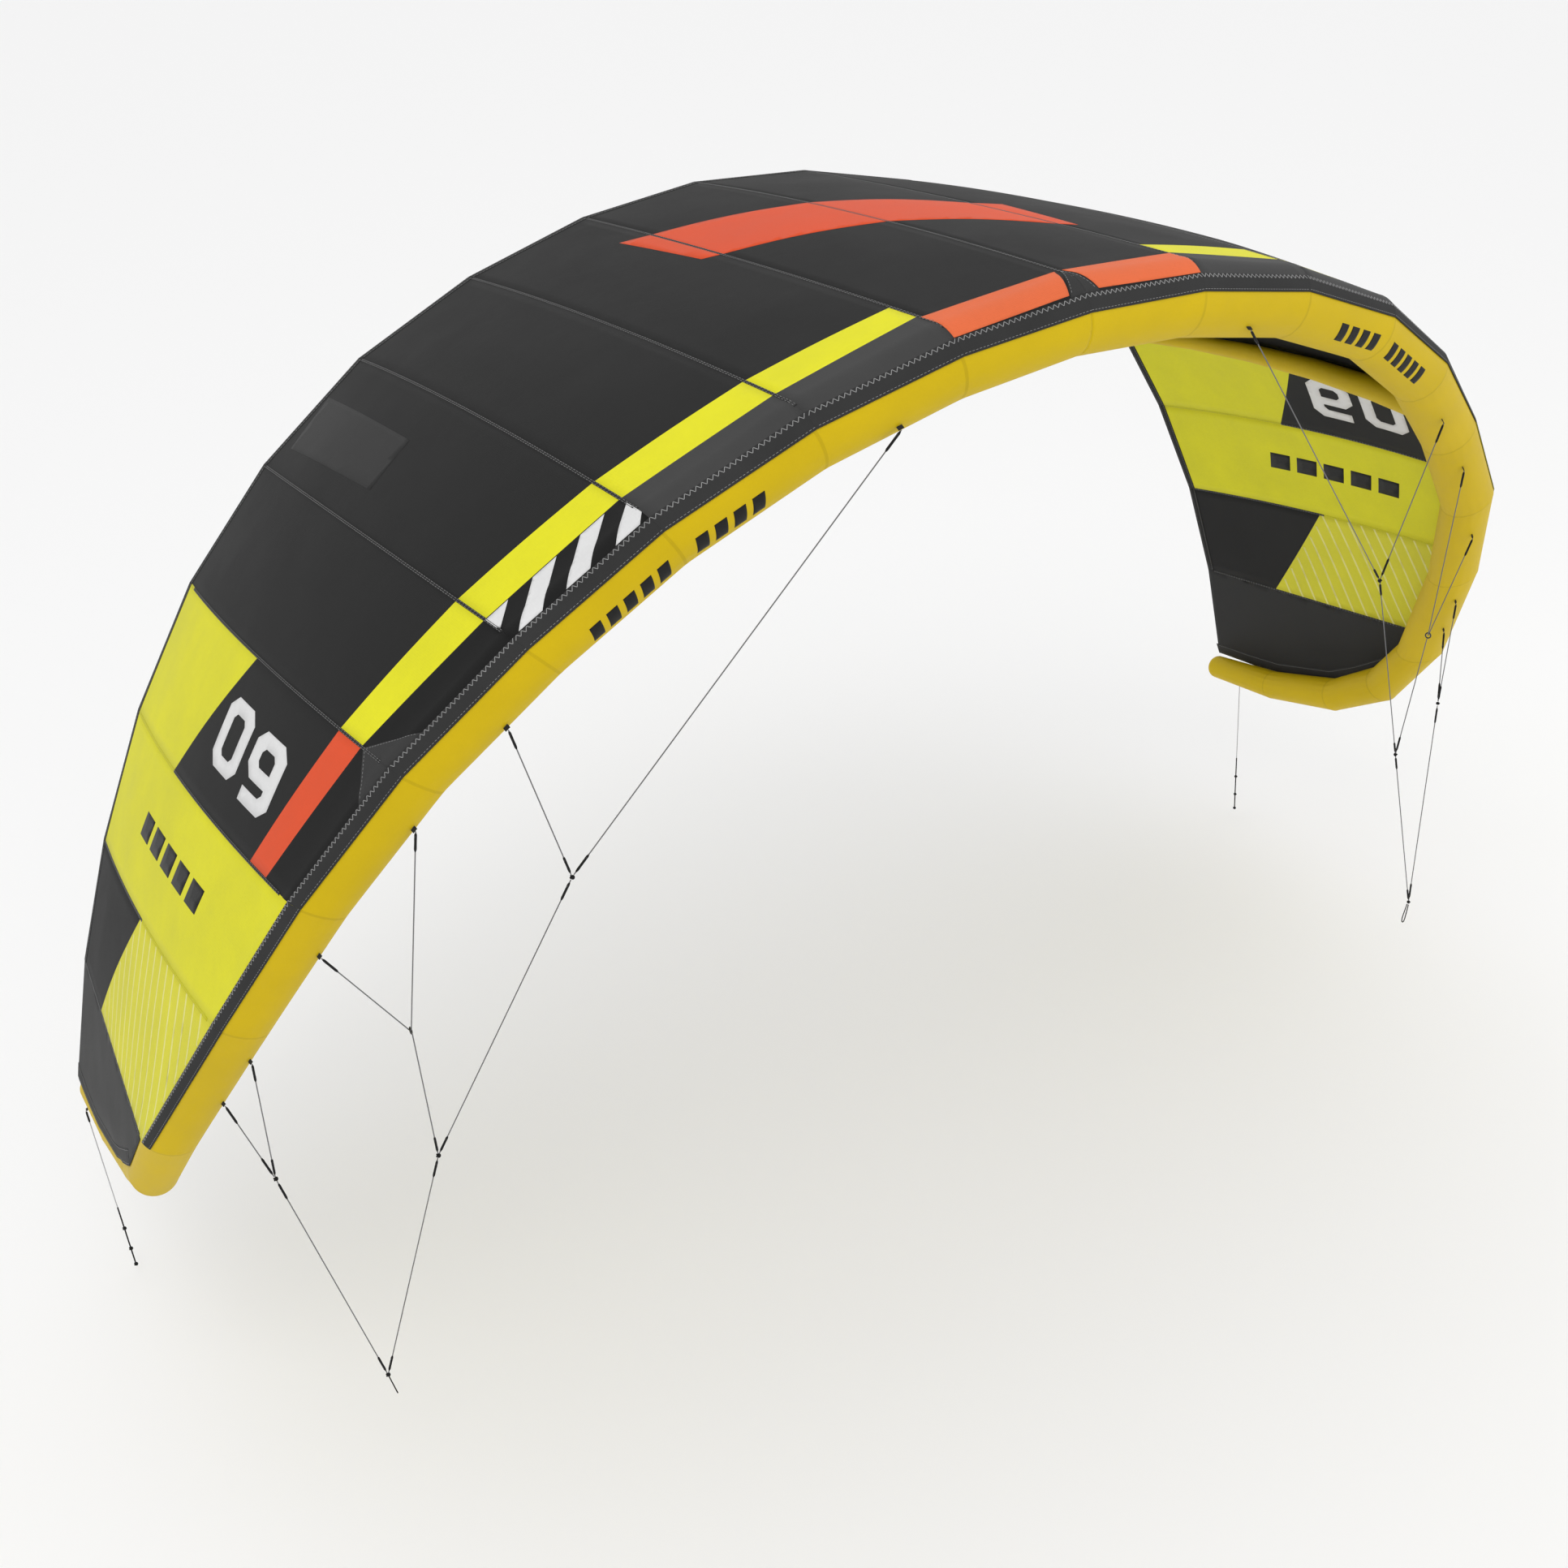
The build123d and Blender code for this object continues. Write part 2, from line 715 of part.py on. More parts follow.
def bridle_knots(side):
    with BuildPart() as knots:
        for joint in (N1, N2, N4, PIGTAIL):
            with Locations(mirror_point(joint, side)):
                Sphere(6.4)
        for mark in TAIL_KNOTS:
            start, d = leader_line(side)
            with Locations(start + d * mark):
                Sphere(TAIL_KNOT_R)
    return knots.part


def slider_ring(side):
    hub, centre, axis, _ = slider(side)
    with BuildPart() as ring:
        with Locations(Plane(origin=centre, z_dir=axis)):
            Torus(RING[0], RING[1])
    return ring.part


def front_loop(side):
    """Teardrop pigtail the flying line is looped on."""
    top = mirror_point(PIGTAIL, side)
    down = Vector(-side * -0.17, 0.08, -0.98)
    plane = Plane(origin=top, x_dir=(0, 1, 0.08), z_dir=down.cross(Vector(0, 1, 0.08)))
    plane = Plane(origin=top, x_dir=plane.z_dir.cross(down), z_dir=plane.z_dir)
    step = down.normalized()
    across = plane.x_dir
    def at(x, y):
        return top + across * x + step * y
    with BuildPart() as loop:
        with BuildLine():
            path = FilletPolyline(at(-2.4, 8.5), at(-LOOP_HALF, LOOP_LENGTH),
                                  at(LOOP_HALF, LOOP_LENGTH), at(2.4, 8.5),
                                  radius=LOOP_BEND)
        with BuildSketch(Plane(origin=path @ 0, z_dir=path % 0)):
            Circle(LOOP_R)
        sweep(path=path)
    return loop.part


def rear_leader(side):
    """Thin line from the wing tip, and the knotted tail below it."""
    start, d = leader_line(side)
    with BuildPart() as leader:
        add(rod(start + d, start + d * LEADER, LINE_R))
        marks = [LEADER + 0.5] + TAIL_KNOTS
        for n, (a, b) in enumerate(zip(marks, marks[1:])):
            low = b - TAIL_KNOT_R - 0.1
            high = a if n == 0 else a + TAIL_KNOT_R + 0.1
            add(rod(start + d * high, start + d * low, TAIL_R))
    return leader.part


def line_tabs(side):
    """Webbing tabs sewn to the tube, one for each cord."""
    seats = [tube_point(*LEGS[name], LEG_ANGLE, side, out=0.8) for name in LEGS]
    seats.append(tube_point(*LEADER_SEAT, side, out=0.8))
    with BuildPart() as tabs:
        for point, away, run in seats:
            with BuildSketch(Plane(origin=point, x_dir=run, z_dir=away)):
                Rectangle(12, 1.8)
            extrude(amount=TAB - 1.8)
    return tabs.part


# ---- save the parts -----------------------------------------------------
def save(part, name):
    part.label = name
    export_step(part, f"parts/{name}.step")


for wing, side in (("left", -1), ("right", 1)):
    save(le_casing(side), f"le_casing_{wing}")
    save(le_bladder(side), f"le_bladder_{wing}")
    for k in range(1, PANELS):
        save(canopy_panel(k, side), f"canopy_{wing}_{k}")
    save(tip_panel(side), f"canopy_{wing}_{PANELS}")
    save(te_hem(side), f"te_hem_{wing}")
    save(le_strip(side), f"le_strip_{wing}")
    save(bridle_lines(side), f"bridle_lines_{wing}")
    save(pulley_line(side), f"pulley_line_{wing}")
    save(bridle_sleeves(side), f"bridle_sleeves_{wing}")
    save(bridle_knots(side), f"bridle_knots_{wing}")
    save(slider_ring(side), f"slider_ring_{wing}")
    save(front_loop(side), f"front_loop_{wing}")
    save(rear_leader(side), f"rear_leader_{wing}")
    save(line_tabs(side), f"line_tabs_{wing}")

for where, (i, side) in STRUTS.items():
    save(strut_casing(i, side), f"strut_casing_{where}")
    save(strut_bladder(i, side), f"strut_bladder_{where}")

for where, (i, side) in HOSED.items():
    save(clip_body(i, side), f"clip_body_{where}")
    save(clip_lever(i, side), f"clip_lever_{where}")

with BuildPart() as hoses:
    for i, side in HOSED.values():
        add(hose(i, side))
save(hoses.part, "hoses")

with BuildPart() as hose_fittings:
    for i, side in HOSED.values():
        add(hose_flanges(i, side))
save(hose_fittings.part, "hose_fittings")

for name, side in (("inflate", 1), ("dump", -1)):
    save(valve_body(side), f"{name}_valve")
    save(valve_cap(side), f"{name}_cap")

print("bend radii mm: pulley line", RING[1] + RING_GAP + LINE_R,
      "front loops", LOOP_BEND, "hoses", HOSE_BEND)
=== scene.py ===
"""Looks of the inflatable kitesurf kite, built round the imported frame, in metres.

The left wing is worked out in millimetres from the design numbers and mirrored.
A place on the canopy is (panel, v, d): v from the seam nearer the centre to the
next one, and d the distance from the trailing edge along the cloth.
"""

import math
from math import cos, sin, radians, pi, sqrt

import bmesh
import bpy
import numpy as np
from mathutils import Matrix, Vector
from mathutils.geometry import delaunay_2d_cdt


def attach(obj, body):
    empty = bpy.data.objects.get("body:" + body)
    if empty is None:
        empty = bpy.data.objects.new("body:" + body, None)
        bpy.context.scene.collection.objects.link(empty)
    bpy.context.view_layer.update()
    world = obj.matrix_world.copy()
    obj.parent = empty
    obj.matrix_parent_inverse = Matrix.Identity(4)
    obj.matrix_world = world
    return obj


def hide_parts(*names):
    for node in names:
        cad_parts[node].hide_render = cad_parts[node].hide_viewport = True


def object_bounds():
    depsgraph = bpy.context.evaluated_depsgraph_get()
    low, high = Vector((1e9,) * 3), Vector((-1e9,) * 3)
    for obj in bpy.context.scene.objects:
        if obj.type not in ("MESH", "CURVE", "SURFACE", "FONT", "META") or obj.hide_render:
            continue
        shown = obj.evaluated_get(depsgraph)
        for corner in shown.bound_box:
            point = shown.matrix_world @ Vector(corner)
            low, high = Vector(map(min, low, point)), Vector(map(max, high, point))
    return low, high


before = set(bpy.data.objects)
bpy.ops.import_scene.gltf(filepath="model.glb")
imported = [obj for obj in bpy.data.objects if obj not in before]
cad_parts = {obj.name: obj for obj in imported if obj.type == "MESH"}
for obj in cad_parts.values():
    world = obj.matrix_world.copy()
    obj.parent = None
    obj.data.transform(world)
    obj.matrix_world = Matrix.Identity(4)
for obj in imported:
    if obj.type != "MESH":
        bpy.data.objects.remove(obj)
cad_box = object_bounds()
MM = 0.001

# ---- design numbers of the part ------------------------------------------
LE_TILT = [5.5, 14, 24, 35.5, 44, 51, 61.5, 66]
TE_TILT = [5, 14.5, 24.5, 37.5, 48, 57.5, 64, 69.5, 74.5]
LE_WIDTH = [285, 310, 320, 310, 325, 335, 358, 423]
TE_WIDTH = [317, 325, 328, 338, 340, 350, 364, 361, 376]
LE_SWEEP = [0, 6, 29, 72, 143, 246, 347, 515, 757]
TE_SWEEP = [1503, 1501, 1501, 1518, 1548, 1586, 1620, 1648, 1684, 1725]
TIP_JOINTS = [(931, -1779, 5), (1128, -1894, 24), (1420, -1984, 14), (1700, -2032, 0)]
TIP_EDGE = [(1560, -1992), (1420, -1964), (1200, -1898), (1090, -1846), (925, -1748)]
CAMBER = [18, 11, 21, 39, 49, 45, 33, 21, 0]
R_CENTRE, R_SHOULDER = 80.0, 60.0
R_TIP = [57, 52, 46, 38]
LAYER = 0.5
SEAM_FRONT, SEAM_RISE, TOP_ANGLE = 16.0, 5.0, 82.0
STRUTS = {"centre": (0, 1), "left": (5, -1), "right": (5, 1)}
STRUT_R, STRUT_GAP, STRUT_TAIL = (34.0, 18.0), 1.0, 85.0
HEM = 26.0
LINE_R, SLEEVE_R, SLEEVE, TAB = 1.3, 2.8, 46.0, 10.0
N1, N2 = Vector((-1101, 183, -940)), Vector((-1432, 382, -1633))
N3, N4 = Vector((-1448, 322, -1252)), Vector((-1754, 530, -1640))
PIGTAIL = Vector((-1635, 463, -2249))
LEGS = {"a1": (1, 0.50), "a2": (4, 0.45), "a3": (5, 0.28), "a4": (6, 0.30),
        "a5": (7, 0.20), "a6": (7, 0.56)}
LEG_ANGLE = 212.0
RING, RING_GAP = (7.0, 1.8), 0.3
LOOP_R, LOOP_LENGTH, LOOP_HALF = 1.5, 72.0, 5.0
LEADER, TAIL_R = 340.0, 2.0
TAIL_KNOTS, TAIL_KNOT_R = [417, 491, 549], 4.6
LEADER_SEAT = (11, 0.786, 135)
LAST = 12

# ---- cloth as it is shown --------------------------------------------------
CLOTH_LIFT = 1.7              # canopy's middle above the tube
CLOTH_HALF = 0.3              # half its thickness
BILLOW = 7.0                  # swell of the cloth between two seams
STRIP_WIDTH = 38.0            # leading-edge strip
WINGS = (("left", -1), ("right", 1))


def edge_points(tilts, widths, sweeps):
    x, z = 0.0, 0.0
    points = [Vector((0, sweeps[0], 0))]
    for tilt, width, sweep in zip(tilts, widths, sweeps[1:]):
        x -= width * cos(radians(tilt))
        z -= width * sin(radians(tilt))
        points.append(Vector((x, sweep, z)))
    return points


LE = edge_points(LE_TILT, LE_WIDTH, LE_SWEEP)
TE = [p + Vector((0, 0, 19)) for p in edge_points(TE_TILT, TE_WIDTH, TE_SWEEP)]


def tube_radius(i):
    return R_TIP[i - 9] if i > 8 else R_CENTRE + (R_SHOULDER - R_CENTRE) * i / 8


def along(points, i):
    if i == 0:
        return Vector((-1, 0, 0))
    ahead = points[i + 1] if i + 1 < len(points) else points[i]
    return (ahead - points[i - 1]).normalized()


def tip_plane():
    back = TE[9] - TE[8]
    top = LE[8] + Vector((-0.95, 0, 0.31)) * (R_SHOULDER + LAYER)
    normal = back.cross(top - TE[8]).normalized()
    return TE[8], normal if normal.x < 0 else -normal


def on_tip(y, z, depth=0.0):
    base, normal = tip_plane()
    x = base.x - (normal.y * (y - base.y) + normal.z * (z - base.z)) / normal.x
    return Vector((x, y, z)) - normal * depth


for joint, (back, down, sink) in enumerate(TIP_JOINTS):
    LE.append(on_tip(back, down, R_TIP[joint] + LAYER + sink))


def flip(p, side):
    """A left-wing point or direction on the wing of that side."""
    return Vector((-side * p.x, p.y, p.z))


def rib_axes(i):
    """Chord and outward directions of rib i."""
    chord = (TE[i] - LE[i]).normalized()
    span = (along(LE[:10], i) + along(TE, i)).normalized()
    normal = chord.cross(span)
    return chord, (normal if normal.z > 0 else -normal).normalized()


def tube_section(i):
    """Left wing: centre, back and up directions and half axes at joint i."""
    run = along(LE, i)
    if i <= 8:
        chord, normal = rib_axes(i)
        lean = abs(chord.cross(normal).dot(run))
        return LE[i], chord, normal, tube_radius(i) / max(lean, 0.7), tube_radius(i)
    out = tip_plane()[1]
    out = (out - run * out.dot(run)).normalized()
    return LE[i], run.cross(out), out, tube_radius(i), tube_radius(i)


SECTIONS = [tube_section(i) for i in range(LAST + 1)]


def tube_at(s, angle, out=0.0):
    """Left-wing point on the tube at joint position s and angle, and its outward direction."""
    i = min(int(s), LAST - 1)
    part = s - i
    t = radians(angle)
    ends = []
    for origin, x, y, a, b in SECTIONS[i:i + 2]:
        ends.append(origin + x * (a * cos(t)) + y * (b * sin(t)))
    surface = ends[0].lerp(ends[1], part)
    centre = LE[i].lerp(LE[i + 1], part)
    run = (LE[i + 1] - LE[i]).normalized()
    away = surface - centre
    away = (away - run * away.dot(run)).normalized()
    return surface + away * out, away, run


def pucker(s, angle):
    """Gathers and seam ridge of the casing beside its joints."""
    i = round(s)
    if i == 0 or i >= LAST:
        return 0.0
    length = (LE[min(i + 1, LAST)] - LE[i]).length if s > i else (LE[i] - LE[i - 1]).length
    gap = abs(s - i) * length
    ridge = 0.45 if gap < 6 else 0.0
    inner = 0.5 + 0.5 * cos(radians(angle - 270 if i < 9 else angle))
    gather = 0.8 * inner * math.exp(-gap / 34) * sin(radians(angle) * 17 + i)
    return ridge + gather * min(1.0, gap / 8)


# ---- canopy surface --------------------------------------------------------
def rib_profile(i):
    """Rib curve as distances from the trailing edge and local (u, v) points."""
    _, _, _, a, b = SECTIONS[i]
    g = CLOTH_LIFT
    top, front = radians(TOP_ANGLE), radians(180 - SEAM_FRONT - SEAM_RISE * i)
    c = (TE[i] - LE[i]).length
    u0, v0 = (a + g) * cos(top), (b + g) * sin(top)
    f = np.linspace(0, 1, 161)
    u, v = c + (u0 - c) * f, (g - LAYER) * (1 - f) + v0 * f
    v = v + 4 * CAMBER[i] * f * (1 - f)
    t = np.linspace(top, front, 61)[1:]
    u, v = np.append(u, (a + g) * np.cos(t)), np.append(v, (b + g) * np.sin(t))
    d = np.append(0, np.cumsum(np.hypot(np.diff(u), np.diff(v))))
    return d, u, v, d[160]


RIBS = [rib_profile(i) for i in range(9)]
TOTAL = [rib[0][-1] for rib in RIBS]
LEAVE = [rib[3] for rib in RIBS]


def rib_point(i, d):
    """Cloth on rib i at distance d from the trailing edge."""
    ds, us, vs, _ = RIBS[i]
    chord, normal = rib_axes(i)
    return LE[i] + chord * float(np.interp(d, ds, us)) + normal * float(np.interp(d, ds, vs))


# colour bands of each panel: where each ends on its two seams, and its colour
END = None
BANDS = {
    1: [(END, "dark")],
    2: [((1350, 1325), "dark"), ((1440, 1430), "stripe"), (END, "grey")],
    3: [((1325, 1295), "dark"), ((1430, 1395), "stripe"), (END, "grey")],
    4: [((1295, 1238), "dark"), ((1395, 1347), "stripe"), (END, "black")],
    5: [((1238, 1165), "dark"), ((1347, 1262), "stripe"), (END, "black")],
    6: [((700, 510), "lime"), ((1165, 1090), "dark"), ((1262, 1180), "orange"), (END, "black")],
    7: [(END, "lime")],
    8: [((560, 300), "dark"), (END, "pale")],
}


def stations(k):
    """Grid lines across panel k: distances on its two seams, and the band after each."""
    a, b = TOTAL[k - 1], TOTAL[k]
    la, lb = LEAVE[k - 1], LEAVE[k]
    marks = [(0.0, 0.0, BANDS[k][0][1])]
    for n, (end, _) in enumerate(BANDS[k][:-1]):
        marks.append((end[0], end[1], BANDS[k][n + 1][1]))
    marks.append((a, b, ""))
    if all(abs(m[0] - la) > 12 or abs(m[1] - lb) > 12 for m in marks):
        before = [m for m in marks if m[0] < la and m[1] < lb][-1]
        marks.insert(marks.index(before) + 1, (la, lb, before[2]))
    lines = []
    for (a0, b0, band), (a1, b1, _) in zip(marks, marks[1:]):
        step = 9.0 if a0 >= la - 30 else 34.0
        n = max(1, round((a1 - a0) / step))
        lines += [(a0 + (a1 - a0) * j / n, b0 + (b1 - b0) * j / n, band) for j in range(n)]
    return lines + [(a, b, "")]


STATIONS = {k: stations(k) for k in range(1, 9)}


def raw_point(k, v, da, db):
    """Place on the ruled surface of panel k, before it billows."""
    return rib_point(k - 1, da).lerp(rib_point(k, db), v)


def swell(k, v, da, db):
    """Height of the billow at a place on panel k."""
    f = ((1 - v) * da / LEAVE[k - 1]) + v * db / LEAVE[k]
    if f >= 1:
        return 0.0
    return BILLOW * sin(pi * v) * min(1.0, 5 * f) * min(1.0, 4 * (1 - f))


def cloth_point(k, v, da, db):
    """Middle of the cloth and its outward direction."""
    p = raw_point(k, v, da, db)
    back = raw_point(k, v, max(da - 4, 0), max(db - 4, 0))
    ahead = raw_point(k, v, min(da + 4, TOTAL[k - 1]), min(db + 4, TOTAL[k]))
    across = rib_point(k, db) - rib_point(k - 1, da)
    normal = across.cross(ahead - back).normalized()
    if normal.dot(rib_axes(k)[1]) < 0 and da < LEAVE[k - 1]:
        normal = -normal
    if da >= LEAVE[k - 1] and normal.dot(p - LE[k - 1].lerp(LE[k], v)) < 0:
        normal = -normal
    return p + normal * swell(k, v, da, db), normal


def place(k, v, d):
    """Cloth point where the mean distance from the trailing edge is d."""
    lines = STATIONS[k]
    means = [a + (b - a) * v for a, b, _ in lines]
    j = int(np.clip(np.searchsorted(means, d) - 1, 0, len(lines) - 2))
    f = (d - means[j]) / (means[j + 1] - means[j])
    (a0, b0, _), (a1, b1, _) = lines[j], lines[j + 1]
    return cloth_point(k, v, a0 + (a1 - a0) * f, b0 + (b1 - b0) * f)


# ---- mesh building ---------------------------------------------------------
COLLECTION = bpy.context.scene.collection
MATERIALS = {}


def add_mesh(name, verts, faces, mats, indices=None, uvs=None, smooth=True):
    """A mesh object from points in millimetres; uvs holds one pair for each vertex."""
    mesh = bpy.data.meshes.new(name)
    mesh.from_pydata([tuple(p * MM) for p in verts], [], faces)
    for material in mats:
        mesh.materials.append(MATERIALS[material])
    if indices is not None:
        mesh.polygons.foreach_set("material_index", indices)
    mesh.polygons.foreach_set("use_smooth", [smooth] * len(faces))
    if uvs is not None:
        layer = mesh.uv_layers.new(name="UVMap")
        flat = []
        for loop in mesh.loops:
            flat.extend(uvs[loop.vertex_index])
        layer.data.foreach_set("uv", flat)
    mesh.validate()
    mesh.update()
    obj = bpy.data.objects.new(name, mesh)
    COLLECTION.objects.link(obj)
    return obj


class Shell:
    """Collects grids, strips and bars into one mesh."""

    def __init__(self, mats):
        self.verts, self.faces, self.indices, self.uvs = [], [], [], []
        self.mats = mats

    def point(self, p, uv=(0.0, 0.0)):
        self.verts.append(p)
        self.uvs.append(uv)
        return len(self.verts) - 1

    def face(self, ids, material):
        self.faces.append(ids)
        self.indices.append(self.mats.index(material))

    def grid(self, rows, material_of, closed=False):
        """rows of (point, uv) lists; material_of(row, column) names each quad's colour."""
        ids = [[self.point(p, uv) for p, uv in row] for row in rows]
        for r in range(len(ids) - 1):
            n = len(ids[r])
            for c in range(n if closed else n - 1):
                d = (c + 1) % n
                self.face((ids[r][c], ids[r][d], ids[r + 1][d], ids[r + 1][c]), material_of(r, c))
        return ids

    def slab(self, upper, lower, material_of, rim):
        """Closed sheet from two grids of the same shape."""
        top = self.grid(upper, material_of)
        low = [[self.point(p, uv) for p, uv in row] for row in lower]
        rows, columns = len(top), len(top[0])
        for r in range(rows - 1):
            for c in range(columns - 1):
                self.face((low[r][c], low[r + 1][c], low[r + 1][c + 1], low[r][c + 1]),
                          material_of(r, c))
        edge = [(r, 0) for r in range(rows)] + [(rows - 1, c) for c in range(1, columns)]
        edge += [(r, columns - 1) for r in range(rows - 2, -1, -1)]
        edge += [(0, c) for c in range(columns - 2, 0, -1)]
        for (r0, c0), (r1, c1) in zip(edge, edge[1:] + edge[:1]):
            self.face((top[r0][c0], top[r1][c1], low[r1][c1], low[r0][c0]), rim)

    def bar(self, p, q, normal, width, height, material):
        """Small raised bar from p to q, such as one stitch."""
        run = q - p
        side = run.cross(normal).normalized() * (width / 2)
        up = normal * height
        base = [p - side, q - side, q + side, p + side]
        ids = [self.point(x - normal * 0.15) for x in base]
        inset = run.normalized() * (width * 0.35)
        caps = [base[0] + inset + side * 0.5, base[1] - inset + side * 0.5,
                base[2] - inset - side * 0.5, base[3] + inset - side * 0.5]
        ids += [self.point(x + up) for x in caps]
        for quad in ((4, 5, 6, 7), (3, 2, 1, 0), (0, 1, 5, 4), (1, 2, 6, 5), (2, 3, 7, 6),
                     (3, 0, 4, 7)):
            self.face(tuple(ids[n] for n in quad), material)

    def tube(self, points, radii, material, sides=10, caps=True):
        """Round tube through the points, its frames carried along the line."""
        rings, up = [], None
        for n, p in enumerate(points):
            a, b = points[max(n - 1, 0)], points[min(n + 1, len(points) - 1)]
            run = (b - a).normalized()
            if up is None:
                up = run.orthogonal().normalized()
            up = (up - run * up.dot(run)).normalized()
            other = run.cross(up)
            r = radii[n] if hasattr(radii, "__len__") else radii
            length = (p - points[0]).length
            rings.append([(p + (up * cos(2 * pi * j / sides) + other * sin(2 * pi * j / sides)) * r,
                           (j / sides * 2 * pi * r * MM, length * MM)) for j in range(sides)])
        ids = self.grid(rings, lambda r, c: material, closed=True)
        if caps:
            self.face(tuple(reversed(ids[0])), material)
            self.face(tuple(ids[-1]), material)

    def build(self, name, side, smooth=True):
        """The object, on the wing of that side, with its faces turned outward."""
        verts = [flip(p, side) for p in self.verts]
        obj = add_mesh(name, verts, self.faces, self.mats, self.indices,
                       [(u, w) for u, w in self.uvs], smooth)
        fix_normals(obj)
        return obj


def fix_normals(obj):
    bm = bmesh.new()
    bm.from_mesh(obj.data)
    bmesh.ops.remove_doubles(bm, verts=bm.verts, dist=1e-6)
    bmesh.ops.recalc_face_normals(bm, faces=bm.faces)
    bm.to_mesh(obj.data)
    bm.free()


# ---- materials -------------------------------------------------------------
def linear(code):
    """Linear colour of a six-digit screen colour."""
    parts = [int(code[n:n + 2], 16) / 255 for n in (0, 2, 4)]
    return [p / 12.92 if p <= 0.04045 else ((p + 0.055) / 1.055) ** 2.4 for p in parts] + [1.0]


def shade(colour, factor):
    return [min(1.0, c * factor) for c in colour[:3]] + [1.0]


def material(name, code, rough=0.6, cell=0.005, thread=1.12, vary=0.10, wrinkle=0.0012,
             weave=0.0006, spec=0.18, coat=0.0, fine=900.0):
    """Cloth, cord or plastic: thread grid, fine weave, wrinkles, colour and gloss variation."""
    mat = bpy.data.materials.new(name)
    mat.use_nodes = True
    tree = mat.node_tree
    link = tree.links.new
    bsdf = tree.nodes["Principled BSDF"]
    base = linear(code)

    def node(kind, **values):
        made = tree.nodes.new(kind)
        for key, value in values.items():
            if key in made.inputs:
                made.inputs[key].default_value = value
            else:
                setattr(made, key, value)
        return made

    coords = node("ShaderNodeTexCoord")
    cloudy = node("ShaderNodeTexNoise", Scale=5.0, Detail=6.0, Roughness=0.6)
    link(coords.outputs["Object"], cloudy.inputs["Vector"])
    tone = node("ShaderNodeMapRange")
    tone.inputs["From Min"].default_value, tone.inputs["From Max"].default_value = 0.3, 0.7
    tone.inputs["To Min"].default_value, tone.inputs["To Max"].default_value = 1 - vary, 1 + vary
    link(cloudy.outputs["Fac"], tone.inputs["Value"])
    if cell:
        grid = node("ShaderNodeTexBrick", offset=0.0, squash=1.0)
        for key, value in (("Scale", 1.0 / cell), ("Mortar Size", 0.05), ("Mortar Smooth", 0.5),
                           ("Brick Width", 1.0), ("Row Height", 1.0), ("Bias", 0.0)):
            grid.inputs[key].default_value = value
        grid.inputs["Color1"].default_value = base
        grid.inputs["Color2"].default_value = shade(base, 0.97)
        grid.inputs["Mortar"].default_value = shade(base, thread)
        link(coords.outputs["UV"], grid.inputs["Vector"])
        colour, heights = grid.outputs["Color"], grid.outputs["Fac"]
    else:
        grain = node("ShaderNodeTexNoise", Scale=fine, Detail=3.0)
        link(coords.outputs["Object"], grain.inputs["Vector"])
        mix = node("ShaderNodeMix", data_type="RGBA")
        mix.inputs[6].default_value, mix.inputs[7].default_value = shade(base, 0.94), shade(base, 1.06)
        link(grain.outputs["Fac"], mix.inputs[0])
        colour, heights = mix.outputs[2], grain.outputs["Fac"]
    tint = node("ShaderNodeVectorMath", operation="SCALE")
    link(colour, tint.inputs[0])
    link(tone.outputs["Result"], tint.inputs["Scale"])
    link(tint.outputs["Vector"], bsdf.inputs["Base Color"])
    gloss = node("ShaderNodeMapRange")
    gloss.inputs["To Min"].default_value = max(0.05, rough - 0.08)
    gloss.inputs["To Max"].default_value = min(1.0, rough + 0.10)
    link(cloudy.outputs["Fac"], gloss.inputs["Value"])
    link(gloss.outputs["Result"], bsdf.inputs["Roughness"])
    puff = node("ShaderNodeTexNoise", Scale=16.0, Detail=4.0, Distortion=0.6)
    link(coords.outputs["Object"], puff.inputs["Vector"])
    big = node("ShaderNodeBump", Strength=0.5, Distance=wrinkle)
    link(puff.outputs["Fac"], big.inputs["Height"])
    small = node("ShaderNodeBump", Strength=0.35, Distance=weave)
    link(heights, small.inputs["Height"])
    link(big.outputs["Normal"], small.inputs["Normal"])
    link(small.outputs["Normal"], bsdf.inputs["Normal"])
    bsdf.inputs["Specular IOR Level"].default_value = spec
    bsdf.inputs["Coat Weight"].default_value = coat
    MATERIALS[name] = mat
    return mat


material("dark", "1B1B1B", 0.66, vary=0.12)
material("black", "111111", 0.66, vary=0.10)
material("grey", "3D3D3D", 0.64, cell=0.004, vary=0.08)
for name, code, rough, thread, vary in (("stripe", "DEDA1C", 0.58, 1.05, 0.05),
                                        ("lime", "D6D220", 0.58, 1.05, 0.06),
                                        ("pale", "D2CD34", 0.60, 1.08, 0.05),
                                        ("pin", "E4E08A", 0.62, 1.03, 0.04),
                                        ("orange", "DA4F28", 0.58, 1.05, 0.05),
                                        ("coral", "DF6A3E", 0.58, 1.05, 0.05),
                                        ("white", "DCDCDC", 0.58, 0.97, 0.04)):
    material(name, code, rough, thread=thread, vary=vary)
material("tip_dark", "2B2B2B", 0.62, vary=0.10)
material("patch", "343434", 0.72, cell=0.0032, thread=1.3, vary=0.12, weave=0.0012)
material("hem", "262626", 0.70, cell=0.003, thread=1.25, vary=0.12, weave=0.001)
material("strip", "303030", 0.78, cell=0.0026, thread=1.4, vary=0.14, weave=0.0014)
material("seam", "242424", 0.66, cell=0.003, thread=1.2, vary=0.10)
material("seam_lime", "C4C023", 0.62, cell=0.003, thread=1.06, vary=0.06)
material("thread", "969696", 0.7, cell=0.0, vary=0.10, fine=2500.0, wrinkle=0.0001)
